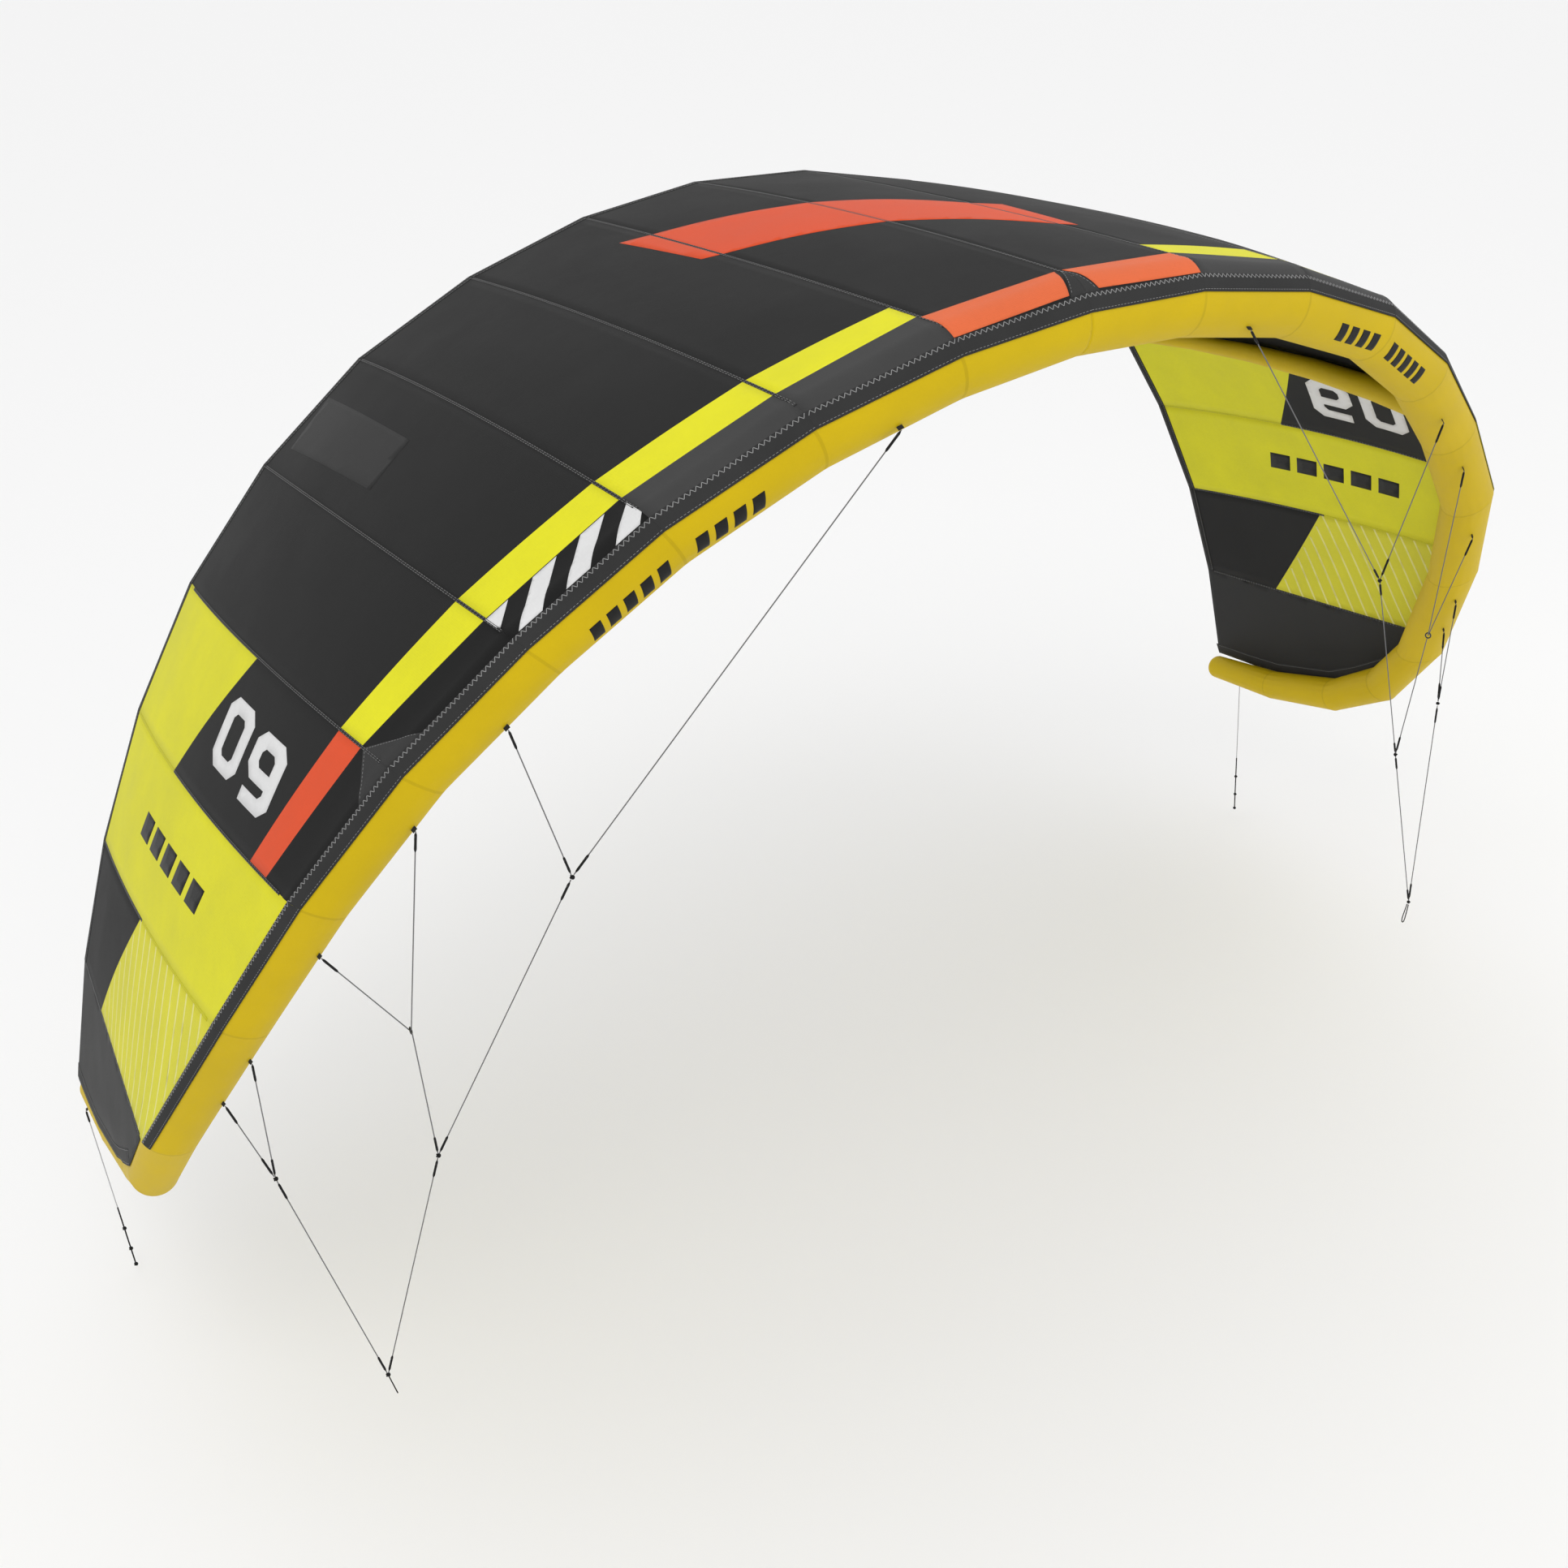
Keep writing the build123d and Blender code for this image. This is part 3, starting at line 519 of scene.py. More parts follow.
material("thread_lime", "B5B01C", 0.7, cell=0.0, vary=0.10, fine=2500.0, wrinkle=0.0001)
material("casing", "CBAE00", 0.50, cell=0.0026, thread=1.05, vary=0.05, wrinkle=0.0022,
         weave=0.0004)
material("casing_seam", "BFA300", 0.55, cell=0.0024, thread=1.06, vary=0.07)
material("ink", "141414", 0.5, cell=0.0026, thread=1.3, vary=0.08)
material("webbing", "1E1E1E", 0.75, cell=0.0014, thread=1.6, vary=0.12, weave=0.0012)
material("line", "6E6E70", 0.62, cell=0.0, vary=0.10, fine=1800.0, weave=0.0008, wrinkle=0.0002)
material("leader", "A9A9AB", 0.62, cell=0.0, vary=0.10, fine=1800.0, weave=0.0008, wrinkle=0.0002)
material("sleeve", "1C1C1D", 0.78, cell=0.0012, thread=1.7, vary=0.12, weave=0.001, wrinkle=0.0003)
material("film", "D8D8D2", 0.28, cell=0.0, vary=0.04, fine=300.0, wrinkle=0.0012, spec=0.5)
material("hose", "E2E2DC", 0.34, cell=0.0, vary=0.04, fine=500.0, wrinkle=0.0004, coat=0.2, spec=0.5)
material("moulded", "232324", 0.48, cell=0.0, vary=0.08, fine=1400.0, wrinkle=0.0002, spec=0.5)
material("ring", "1A1A1B", 0.30, cell=0.0, vary=0.06, fine=1400.0, wrinkle=0.0001, coat=0.3, spec=0.5)
material("lever", "C4501E", 0.44, cell=0.0, vary=0.06, fine=1400.0, wrinkle=0.0002, spec=0.5)


# ---- camera ----------------------------------------------------------------
EYE = Vector((-2.2723, -2.9382, 1.1149))
LENS = 44.72                  # mm, on a sensor 36 mm wide
RIGHT, UP = Vector((0.8575, -0.5086, -0.0779)), Vector((0.3117, 0.3930, 0.8651))
camera = bpy.data.objects.new("camera", bpy.data.cameras.new("camera"))
COLLECTION.objects.link(camera)
forward = UP.cross(RIGHT).normalized()
axes = Matrix((RIGHT.normalized(), UP.normalized(), -forward)).transposed()
camera.matrix_world = Matrix.Translation(EYE) @ axes.to_4x4()
camera.data.sensor_width = 36.0
camera.data.lens = LENS
camera.data.clip_end = 200.0
bpy.context.scene.camera = camera


# ---- bridle ----------------------------------------------------------------
def settle(obj, *nodes, slot):
    """Rides the piece on the kite and hides the CAD nodes it stands for. The slot is not used."""
    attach(obj, "kite")
    if nodes:
        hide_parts(*nodes)
    return obj


def leg_start(name):
    """Where a leg of the bridle leaves its tab on the tube."""
    panel, part = LEGS[name]
    return tube_at(panel + part, LEG_ANGLE, TAB)[0]


def slider():
    """Where the line to node 2 is tied to the slider ring."""
    a = (leg_start("a3") - N3).normalized()
    b = (leg_start("a4") - N3).normalized()
    bend = RING[1] + RING_GAP + LINE_R
    hub = N3 + (a + b).normalized() * (bend / sqrt((1 - a.dot(b)) / 2))
    ring = hub - (a + b).normalized() * RING[0]
    return ring - (a + b).normalized() * (RING[0] + RING[1])


def cord(name, side, route, radius, look, node):
    """Bridle cord as one smooth spline through its route, bevelled round."""
    data = bpy.data.curves.new(name, "CURVE")
    data.dimensions = "3D"
    data.bevel_depth = radius * MM
    data.bevel_resolution = 3
    data.use_fill_caps = True
    data.resolution_u = 8
    spline = data.splines.new("NURBS")
    spline.points.add(len(route) - 1)
    for point, p in zip(spline.points, route):
        point.co = (*(flip(p, side) * MM), 1.0)
    spline.order_u = 3
    spline.use_endpoint_u = True
    obj = bpy.data.objects.new(name, data)
    COLLECTION.objects.link(obj)
    data.materials.append(MATERIALS[look])
    settle(obj, node, slot="line_cord")
    tuple(flip(route[0], side) * MM)


def even(a, b, parts):
    """Evenly spaced points from a to b."""
    return [a.lerp(b, n / parts) for n in range(parts + 1)]


NODE_KNOT_R = 6.0
START = {name: leg_start(name) for name in LEGS}
# each straight cord: its ends, how far it stops short of them, and its sleeves' gaps
RUNS = [("a1", START["a1"], N1, 1, 7, (4, 14)), ("a2", START["a2"], N1, 1, 7, (4, 14)),
        ("n1", N1, N2, 7, 7, (14, 14)), ("n3", slider(), N2, 1, 7, (None, 14)),
        ("a5", START["a5"], N4, 1, 7, (4, 14)), ("a6", START["a6"], N4, 1, 7, (4, 14)),
        ("n2", N2, PIGTAIL, 7, 7, (14, 14)), ("n4", N4, PIGTAIL, 7, 7, (14, 14))]


def sleeve(shell, a, b):
    """Sewn sleeve on a cord, tapered into it at both ends."""
    run = b - a
    shares = [0, 0.05, 0.12, 0.5, 0.88, 0.95, 1]
    sizes = [LINE_R + 0.25, 2.2, SLEEVE_R, SLEEVE_R - 0.15, SLEEVE_R, 2.2, LINE_R + 0.25]
    shell.tube([a + run * s for s in shares], sizes, "sleeve", 10)
    up = run.orthogonal().normalized()
    for turn in range(10):
        s = 0.14 + 0.072 * turn
        angle = up.copy()
        angle.rotate(Matrix.Rotation(turn * 0.5, 3, run))
        centre = a + run * s + angle * (SLEEVE_R - 0.15)
        shell.bar(centre, centre + run.normalized() * 2.2, angle, 0.5, 0.3, "thread")


def knot(shell, centre, size, run, look):
    """Tied knot: a cord wound three times through itself."""
    up = run.orthogonal().normalized()
    other = run.normalized().cross(up)
    points = []
    for n in range(61):
        t = 2 * pi * n / 60
        r = (2 + cos(3 * t)) / 3
        points.append(centre + (up * cos(2 * t) * r + other * sin(2 * t) * r
                                + run.normalized() * sin(3 * t) * 0.55) * size * 0.62)
    shell.tube(points, size * 0.36, look, 8, caps=False)


for wing, side in WINGS:
    sleeves, knots = Shell(["sleeve", "thread"]), Shell(["sleeve", "webbing"])
    for tag, a, b, trim_a, trim_b, (gap_a, gap_b) in RUNS:
        d = (b - a).normalized()
        route = even(a + d * trim_a, b - d * trim_b, 4)
        cord(f"bridle_{tag}_{wing}", side, route, LINE_R, "line",
             f"bridle_lines_{wing}")
        if gap_a is not None:
            sleeve(sleeves, a + d * gap_a, a + d * (gap_a + SLEEVE))
        sleeve(sleeves, b - d * (gap_b + SLEEVE), b - d * gap_b)
    a, b = START["a3"], START["a4"]
    da, db = (N3 - a).normalized(), (N3 - b).normalized()
    route = [a + da, a.lerp(N3, 0.5), N3 - da * 16, N3, N3 - db * 16, b.lerp(N3, 0.5), b + db]
    cord(f"pulley_line_{wing}_cord", side, route, LINE_R, "line",
         f"pulley_line_{wing}")
    sleeve(sleeves, a + da * 4, a + da * (4 + SLEEVE))
    sleeve(sleeves, b + db * 4, b + db * (4 + SLEEVE))
    for joint, look in ((N1, N2 - N1), (N2, PIGTAIL - N2), (N4, PIGTAIL - N4),
                        (PIGTAIL, Vector((0, 0, -1)))):
        knot(knots, joint, NODE_KNOT_R, look, "sleeve")

    down = Vector((0.17, 0.08, -0.98)).normalized()
    across = (Vector((0, 1, 0.08)) - down * Vector((0, 1, 0.08)).dot(down)).normalized()
    route = [PIGTAIL + across * x + down * y for x, y in
             ((-2.4, 8.5), (-4.0, 36), (-LOOP_HALF, LOOP_LENGTH), (LOOP_HALF, LOOP_LENGTH),
              (4.0, 36), (2.4, 8.5))]
    cord(f"front_loop_{wing}_cord", side, route, LOOP_R, "sleeve",
         f"front_loop_{wing}")

    start = tube_at(LEADER_SEAT[0] + LEADER_SEAT[1], LEADER_SEAT[2], TAB)[0]
    fall = Vector((0, 0, -1))
    route = even(start + fall, start + fall * LEADER, 4)
    cord(f"rear_leader_{wing}_cord", side, route, LINE_R, "leader",
         f"rear_leader_{wing}")
    route = even(start + fall * (LEADER + 0.5), start + fall * TAIL_KNOTS[-1], 5)
    cord(f"rear_tail_{wing}_cord", side, route, TAIL_R, "sleeve",
         f"rear_leader_{wing}")
    sleeve(sleeves, start + fall * 4, start + fall * 40)
    for mark in TAIL_KNOTS:
        knot(knots, start + fall * mark, TAIL_KNOT_R * 1.35, fall, "webbing")
    for shell, kind in ((sleeves, "bridle_sleeves"), (knots, "bridle_knots")):
        settle(shell.build(f"{kind}_{wing}_sewn", side), f"{kind}_{wing}", slot="sleeve_cord")


# ---- canopy, hem, seams ----------------------------------------------------
SPANS = 12                    # grid columns across a panel
UV_WIDTH = 0.34               # a panel's width in its cloth pattern
PANEL_GROUPS = (("dark_panels", range(1, 6), "canopy_dark"),
                ("lime_panels", range(6, 9), "canopy_lime"))
COLOURS = ["dark", "stripe", "grey", "black", "lime", "orange", "pale"]


def panel_rows(k):
    """Upper and lower points of panel k, one row for each station."""
    upper, lower = [], []
    for a, b, _ in STATIONS[k]:
        high, low = [], []
        for c in range(SPANS + 1):
            v = c / SPANS
            p, n = cloth_point(k, v, a, b)
            uv = ((k + v) * UV_WIDTH, (a + (b - a) * v) * MM)
            high.append((p + n * CLOTH_HALF, uv))
            low.append((p - n * CLOTH_HALF, uv))
        upper.append(high)
        lower.append(low)
    return upper, lower


def canopy(wing, side):
    """The eight ruled panels of a wing, in two sheets."""
    for name, panels, slot in PANEL_GROUPS:
        shell = Shell(COLOURS)
        for k in panels:
            upper, lower = panel_rows(k)
            bands = [s[2] for s in STATIONS[k]]
            shell.slab(upper, lower, lambda r, c: bands[r], bands[0])
        obj = shell.build(f"canopy_{wing}_{name}", side)
        settle(obj, *[f"canopy_{wing}_{k}" for k in panels], slot=slot)


def hem(wing, side):
    """Folded hem round the back edge, with two rows of stitches on each face."""
    shell = Shell(["hem", "thread"])
    profile = [(HEM, 0.7), (HEM - 2, 0.95), (2.5, 1.0), (0.6, 0.8), (-0.4, 0.0), (0.6, -0.8),
               (2.5, -1.0), (HEM - 2, -0.95), (HEM, -0.7)]
    for k in range(1, 9):
        rings = []
        for c in range(SPANS + 1):
            v = c / SPANS
            ring = []
            for d, h in profile:
                p, n = place(k, v, max(d, 0.0))
                back, _ = place(k, v, 6.0)
                edge, _ = place(k, v, 0.0)
                out = (edge - back).normalized() * max(-d, 0)
                ring.append((p + n * (h + (CLOTH_HALF if h > 0 else -CLOTH_HALF)) + out,
                             ((k + v) * UV_WIDTH, (d + h) * MM)))
            rings.append(ring)
        ids = shell.grid(rings, lambda r, c: "hem")
        for r in range(SPANS):
            shell.face((ids[r][0], ids[r + 1][0], ids[r + 1][-1], ids[r][-1]), "hem")
        shell.face(tuple(ids[0]), "hem")
        shell.face(tuple(reversed(ids[-1])), "hem")
        for face in (1, -1):
            for d in (6, HEM - 5):
                stitch_line(shell, [(k, c / 24, d) for c in range(25)], face * 1.3, face, 5.5, 3.5)
    settle(shell.build(f"te_hem_{wing}_folded", side), f"te_hem_{wing}", slot="hem_cloth")


def stitch_line(shell, route, lift, face, dash, gap, width=0.9, look="thread", zigzag=0.0):
    """Rows of stitches along cloth places; zigzag swings them to both sides."""
    points = [place(k, v, d) for k, v, d in route]
    lengths = [0.0]
    for (p, _), (q, _) in zip(points, points[1:]):
        lengths.append(lengths[-1] + (q - p).length)

    def at(distance):
        j = max(0, min(int(np.searchsorted(lengths, distance)) - 1, len(points) - 2))
        f = (distance - lengths[j]) / max(lengths[j + 1] - lengths[j], 1e-6)
        p, n = points[j][0].lerp(points[j + 1][0], f), points[j][1].lerp(points[j + 1][1], f)
        run = (points[j + 1][0] - points[j][0]).normalized()
        return p + n * lift, n * face, run.cross(n).normalized()

    pitch = dash + gap
    for n in range(int(lengths[-1] / pitch)):
        p, up, aside = at(n * pitch)
        q, _, aside_q = at(n * pitch + dash)
        swing = zigzag * (1 if n % 2 else -1)
        shell.bar(p - aside * swing, q + aside_q * swing, up, width, 0.35, look)


def seam_look(k, d, kind):
    """Colour of the tape or thread over the seam after panel k at distance d."""
    lime = (k == 5 and d < 60) or (k == 6 and d < 505) or k == 7 and d > 560
    return {"tape": "seam_lime" if lime else "seam",
            "thread": "thread_lime" if lime else "thread"}[kind]


SEAM_HALF = 3.6


def seams(wing, side):
    """Lapped seams between the panels: a tape on each face and two rows of stitches."""
    shell = Shell(["seam", "seam_lime", "thread", "thread_lime"])
    ribs = range(0, 9) if side < 0 else range(1, 9)
    for i in ribs:
        width = (rib_point(i, 700) - rib_point(abs(i - 1), 700)).length
        half = SEAM_HALF / width
        stops = [HEM + 1 + n * 22.0 for n in range(int((TOTAL[i] - 60) / 22))]
        for face in (1, -1):
            rows = []
            for d in stops:
                row = []
                for j, h in ((-1, 0.05), (-0.8, 0.4), (0.8, 0.4), (1, 0.05)):
                    p, n = seam_place(i, j * half, d)
                    row.append((p + n * face * (CLOTH_HALF + h), (j * 0.005, d * MM)))
                rows.append(row)
            low = [[(seam_place(i, j * half, d)[0], (j * 0.005, d * MM))
                    for j in (-1, -0.8, 0.8, 1)] for d in stops]
            shell.slab(rows, low, lambda r, c: seam_look(i, stops[r], "tape"), "seam")
            for j in (-0.55, 0.55):
                route = [(i, j * half, d) for d in stops]
                seam_stitches(shell, route, face)
    settle(shell.build(f"seams_{wing}", side), slot="canopy_dark")


def seam_place(i, offset, d):
    """Cloth place beside seam i, offset counted in panel widths to either side."""
    if i == 0:
        p, n = place(1, abs(offset), d)
        return (p if offset >= 0 else flip(p, 1)), (n if offset >= 0 else flip(n, 1))
    if i == 8 or offset <= 0:
        p, n = place(i, 1.0 - max(-offset, 0.0), d)
        if offset > 0:
            outward, _ = place(i, 1.0 - offset, d)
            mirrored = p + (p - outward)
            return mirrored, n
        return p, n
    return place(i + 1, offset, d)


def seam_stitches(shell, route, face):
    dash, gap = 6.0, 4.0
    for (i, offset, d0), (_, _, d1) in zip(route, route[1:]):
        p, n = seam_place(i, offset, d0)
        q, _ = seam_place(i, offset, d1)
        count = int((q - p).length / (dash + gap))
        for j in range(count):
            a = p.lerp(q, j / count) + n * face * (CLOTH_HALF + 0.4)
            b = p.lerp(q, (j + dash / (dash + gap)) / count) + n * face * (CLOTH_HALF + 0.4)
            shell.bar(a, b, n * face, 0.8, 0.3, seam_look(i, d0, "thread"))


def strip(wing, side):
    """Coarse strip over the front seam, with zig-zag and straight stitching."""
    shell = Shell(["strip", "thread"])
    for k in range(1, 9):
        rings = []
        for c in range(SPANS + 1):
            v = c / SPANS
            total = TOTAL[k - 1] + (TOTAL[k] - TOTAL[k - 1]) * v
            ring = []
            for back, h in ((STRIP_WIDTH, 0.35), (STRIP_WIDTH - 1.5, 0.9), (26, 0.9), (16, 0.9),
                            (6, 0.9), (1, 0.9), (0, 0.3), (0.5, 0.02), (16, 0.02),
                            (STRIP_WIDTH - 2, 0.02)):
                p, n = place(k, v, total - back)
                ring.append((p + n * (CLOTH_HALF + h), ((k + v) * UV_WIDTH, back * MM)))
            rings.append(ring)
        shell.grid(rings, lambda r, c: "strip", closed=True)
        width = (rib_point(k, TOTAL[k]) - rib_point(k - 1, TOTAL[k - 1])).length
        steps = max(8, round(width / 12))
        for back, zig, dash, gap in ((STRIP_WIDTH - 5, 4.2, 6.0, 0.2), (5, 0.0, 5.0, 3.0)):
            route = [(k, c / steps, TOTAL[k - 1] + (TOTAL[k] - TOTAL[k - 1]) * c / steps - back)
                     for c in range(steps + 1)]
            stitch_line(shell, route, CLOTH_HALF + 0.9, 1, dash, gap, 1.5 if zig else 0.9,
                        zigzag=zig)
    settle(shell.build(f"le_strip_{wing}_sewn", side), f"le_strip_{wing}", slot="strip_cloth")


# ---- tubes -----------------------------------------------------------------
def tube(wing, side):
    """Inflated leading-edge casing with gathered joints and a rounded tip."""
    shell = Shell(["casing", "casing_seam"])
    stops = []
    for i in range(LAST):
        length = (LE[i + 1] - LE[i]).length
        inner = [x / length for x in (7, 14, 26, 46, 76)]
        part = [0.0] + inner + list(np.linspace(inner[-1], 1 - inner[-1], 8)[1:-1])
        part += [1 - x for x in reversed(inner)]
        stops += [i + x for x in part]
    stops.append(float(LAST))
    sides = 96
    rows, travelled, before = [], 0.0, None
    for s in stops:
        row = []
        centre = LE[min(int(s), LAST - 1)].lerp(LE[min(int(s), LAST - 1) + 1],
                                                s - min(int(s), LAST - 1))
        travelled += (centre - before).length if before else 0.0
        before = centre
        for j in range(sides):
            angle = 360 * j / sides
            p, _, _ = tube_at(s, angle, pucker(s, angle))
            row.append((p, (j / sides * 0.45, travelled * MM)))
        rows.append(row)
    origin, x, y, a, _ = SECTIONS[LAST]
    run = (LE[LAST] - LE[LAST - 1]).normalized()
    for reach, share in ((4, 0.99), (9, 0.95), (14, 0.87), (19, 0.73), (23, 0.52), (25.5, 0.25)):
        rows.append([(origin + run * reach + (x * cos(2 * pi * j / sides)
                                              + y * sin(2 * pi * j / sides)) * a * share,
                      (j / sides * 0.45, (travelled + reach) * MM)) for j in range(sides)])

    def look(r, c):
        gap = abs(stops[r] - round(stops[r])) if r < len(stops) else 0
        joint = round(stops[r]) if r < len(stops) else LAST
        return "casing_seam" if gap < 0.01 and 0 < joint < LAST else "casing"

    ids = shell.grid(rows, look, closed=True)
    shell.face(tuple(ids[0]), "casing")
    shell.face(tuple(reversed(ids[-1])), "casing")
    obj = settle(shell.build(f"tube_{wing}", side), f"le_casing_{wing}", slot="casing_cloth")


STRUT_PARTS = 5               # straight lengths of a strut


def strut_rows(i):
    """Finely spaced stations of a strut: distance back, height and radius."""
    nose, tail = STRUT_R
    length = (TE[i] - LE[i]).length
    last = length - STRUT_TAIL
    first = tube_radius(i) * 0.75
    _, _, _, a, b = SECTIONS[i]
    top = radians(TOP_ANGLE)
    u0, v0 = (a + LAYER) * cos(top), (b + LAYER) * sin(top)
    marks = []
    for n in range(STRUT_PARTS + 1):
        u = first + (last - first) * n / STRUT_PARTS
        r = nose + (tail - nose) * n / STRUT_PARTS
        s = (u - u0) / (length - u0)
        v = v0 * (1 - s) + 4 * CAMBER[i] * s * (1 - s)
        marks.append((u, v - STRUT_GAP - r, r))
    rows = []
    for n in range(41):
        f = n / 40 * STRUT_PARTS
        j = min(int(f), STRUT_PARTS - 1)
        rows.append(tuple(x + (y - x) * (f - j) for x, y in zip(marks[j], marks[j + 1])))
    return rows


def strut(where, i, side):
    """Inflated strut sewn under the cloth, with a closed tail."""
    shell = Shell(["casing", "casing_seam", "thread"])
    chord, normal = rib_axes(i)
    across = chord.cross(normal)
    rows, sides = [], 40
    stations_ = strut_rows(i)
    u, v, r = stations_[-1]
    stations_ += [(u + 4, v + 0.4, r * 0.96), (u + 7.5, v + 1, r * 0.84), (u + 10.5, v + 1.5, r * 0.62),
                  (u + 12.6, v + 2, r * 0.34)]
    for n, (u, v, r) in enumerate(stations_):
        ridge = 0.5 if n in (2, 38) else 0.0
        rows.append([(LE[i] + chord * u + normal * v
                      + (normal * cos(2 * pi * j / sides) + across * sin(2 * pi * j / sides))
                      * (r + ridge), (j / sides * 0.2, u * MM)) for j in range(sides)])
    ids = shell.grid(rows, lambda r, c: "casing_seam" if r in (1, 38) else "casing", closed=True)
    shell.face(tuple(ids[0]), "casing")
    shell.face(tuple(reversed(ids[-1])), "casing")
    obj = settle(shell.build(f"strut_{where}", side), f"strut_casing_{where}", slot="casing_cloth")


for wing, side in WINGS:
    tube(wing, side)
for where, (i, side) in STRUTS.items():
    strut(where, i, side)
for wing, side in WINGS:
    canopy(wing, side)
    hem(wing, side)
    seams(wing, side)
    strip(wing, side)


# ---- prints, patches and the tip panel -------------------------------------
ACROSS = 335.0                # nominal width of a panel, for laying prints out flat
PRINT_LIFT = 0.3
TIP_OVERLAP = 14.0            # tip cloth lapped over its tube
TIP_BORDER = 40.0             # reinforced edge of the tip
PIN_PITCH, PIN_RISE, PIN_WIDTH = 52.0, 110.0, 8.0
SLASH = 330.0                 # depth of the band over the centre


def inside(p, loops):
    """Whether a flat point lies inside the outlines, counting inner ones as holes."""
    hit = False
    for loop in loops:
        for a, b in zip(loop, loop[1:] + loop[:1]):
            if (a.y > p.y) != (b.y > p.y) and p.x < a.x + (p.y - a.y) * (b.x - a.x) / (b.y - a.y):
                hit = not hit
    return hit


def laid(shell, look, loops, spot, layers, step=24.0):
    """Closed thin pieces cut to flat outlines and laid where spot(x, y) says, one per layer."""
    fine = []
    for loop in loops:
        points = []
        for a, b in zip(loop, loop[1:] + loop[:1]):
            n = max(1, math.ceil((b - a).length / step))
            points += [a.lerp(b, j / n) for j in range(n)]
        fine.append(points)
    verts = [p for points in fine for p in points]
    edges, base = [], 0
    for points in fine:
        edges += [(base + j, base + (j + 1) % len(points)) for j in range(len(points))]
        base += len(points)
    rim = list(verts)
    xs, ys = [p.x for p in rim], [p.y for p in rim]
    for x in np.arange(min(xs) + step / 2, max(xs), step):
        for y in np.arange(min(ys) + step / 2, max(ys), step):
            p = Vector((x, y))
            if inside(p, fine) and min((p - q).length for q in rim) > step * 0.4:
                verts.append(p)
    flat, _, triangles, *_ = delaunay_2d_cdt(verts, edges, [], 0, 1e-5)
    kept = [t for t in triangles if inside((flat[t[0]] + flat[t[1]] + flat[t[2]]) / 3, fine)]
    spots = {n: spot(flat[n].x, flat[n].y) for t in kept for n in t}
    uses = {}
    for t in kept:
        for a, b in zip(t, t[1:] + t[:1]):
            uses[(a, b)] = True
    for low, high in layers:
        top = {n: shell.point(p + up * high, (flat[n].x * MM, flat[n].y * MM))
               for n, (p, up) in spots.items()}
        under = {n: shell.point(p + up * low, (flat[n].x * MM, flat[n].y * MM))
                 for n, (p, up) in spots.items()}
        for t in kept:
            shell.face(tuple(top[n] for n in t), look)
            shell.face(tuple(under[n] for n in reversed(t)), look)
        for a, b in uses:
            if (b, a) not in uses:
                shell.face((top[b], top[a], under[a], under[b]), look)


def printed(shell, look, k, *outlines, step=24.0, faces=(1, -1), lift=PRINT_LIFT):
    """Colour on panel k inside the outlines of (v, d) places; an inner outline is a hole."""
    loops = [[Vector((v * ACROSS, d)) for v, d in outline] for outline in outlines]
    layers = [(face * (CLOTH_HALF - 0.1), face * (CLOTH_HALF + lift)) for face in faces]
    laid(shell, look, loops, lambda x, y: place(k, min(max(x / ACROSS, 0.0), 1.0), y), layers, step)


def band_end(k, n, v):
    """Distance at which band n of panel k ends."""
    a, b = BANDS[k][n][0]
    return a + (b - a) * v


def strip_start(k, v):
    """Distance at which the front strip begins."""
    return TOTAL[k - 1] + (TOTAL[k] - TOTAL[k - 1]) * v - STRIP_WIDTH


def clip_bar(low, high, slant, d0, d1):
    """Outline of a slanting bar from row d0 to row d1, kept between v = 0 and v = 1."""
    corners = [(low, 0.0), (high, 0.0), (high + slant, 1.0), (low + slant, 1.0)]
    for limit, sign in ((0.0, 1), (1.0, -1)):
        kept = []
        for (v0, f0), (v1, f1) in zip(corners, corners[1:] + corners[:1]):
            in0, in1 = sign * (v0 - limit) >= 0, sign * (v1 - limit) >= 0
            if in0:
                kept.append((v0, f0))
            if in0 != in1:
                g = (limit - v0) / (v1 - v0)
                kept.append((limit, f0 + (f1 - f0) * g))
        corners = kept
    return [(v, d0(v) * (1 - f) + d1(v) * f) for v, f in corners]


ZERO = [[(0.2, 0), (0.8, 0), (1, 0.16), (1, 0.84), (0.8, 1), (0.2, 1), (0, 0.84), (0, 0.16)],
        [(0.36, 0.2), (0.64, 0.2), (0.72, 0.27), (0.72, 0.73), (0.64, 0.8), (0.36, 0.8),
         (0.28, 0.73), (0.28, 0.27)]]
NINE = [[(0.1, 0), (0.8, 0), (1, 0.16), (1, 0.84), (0.8, 1), (0.2, 1), (0, 0.84), (0, 0.5),
         (0.2, 0.34), (0.72, 0.34), (0.72, 0.27), (0.64, 0.2), (0.1, 0.2)],
        [(0.36, 0.54), (0.72, 0.54), (0.72, 0.73), (0.64, 0.8), (0.36, 0.8), (0.28, 0.73),
         (0.28, 0.61)]]


def digit(shell, glyph, side, v, d):
    """Size figure on panel 6, read from outside with its top towards the centre."""
    wide, tall, lean = 165.0, 156.0, 0.10
    loops = []
    for loop in glyph:
        row = []
        for x, y in loop:
            x = (x - 0.5) * wide - (y - 0.5) * tall * lean
            row.append((v - (y - 0.5) * tall / ACROSS, d + (x if side < 0 else -x)))
        loops.append(row)
    printed(shell, "white", 6, *loops, step=20.0)


def tube_mark(shell, s0, s1, low, high, lean):
    """One plain bar on the front of the leading-edge tube."""
    scale = 320.0
    outline = [(s0, low), (s1, low), (s1 + lean, high), (s0 + lean, high)]
    loops = [[Vector((s * scale, angle)) for s, angle in outline]]

    def spot(x, y):
        s = x / scale
        p, away, _ = tube_at(s, y, pucker(s, y))
        return p, away

    laid(shell, "ink", loops, spot, [(-0.3, 0.35)], step=6.0)


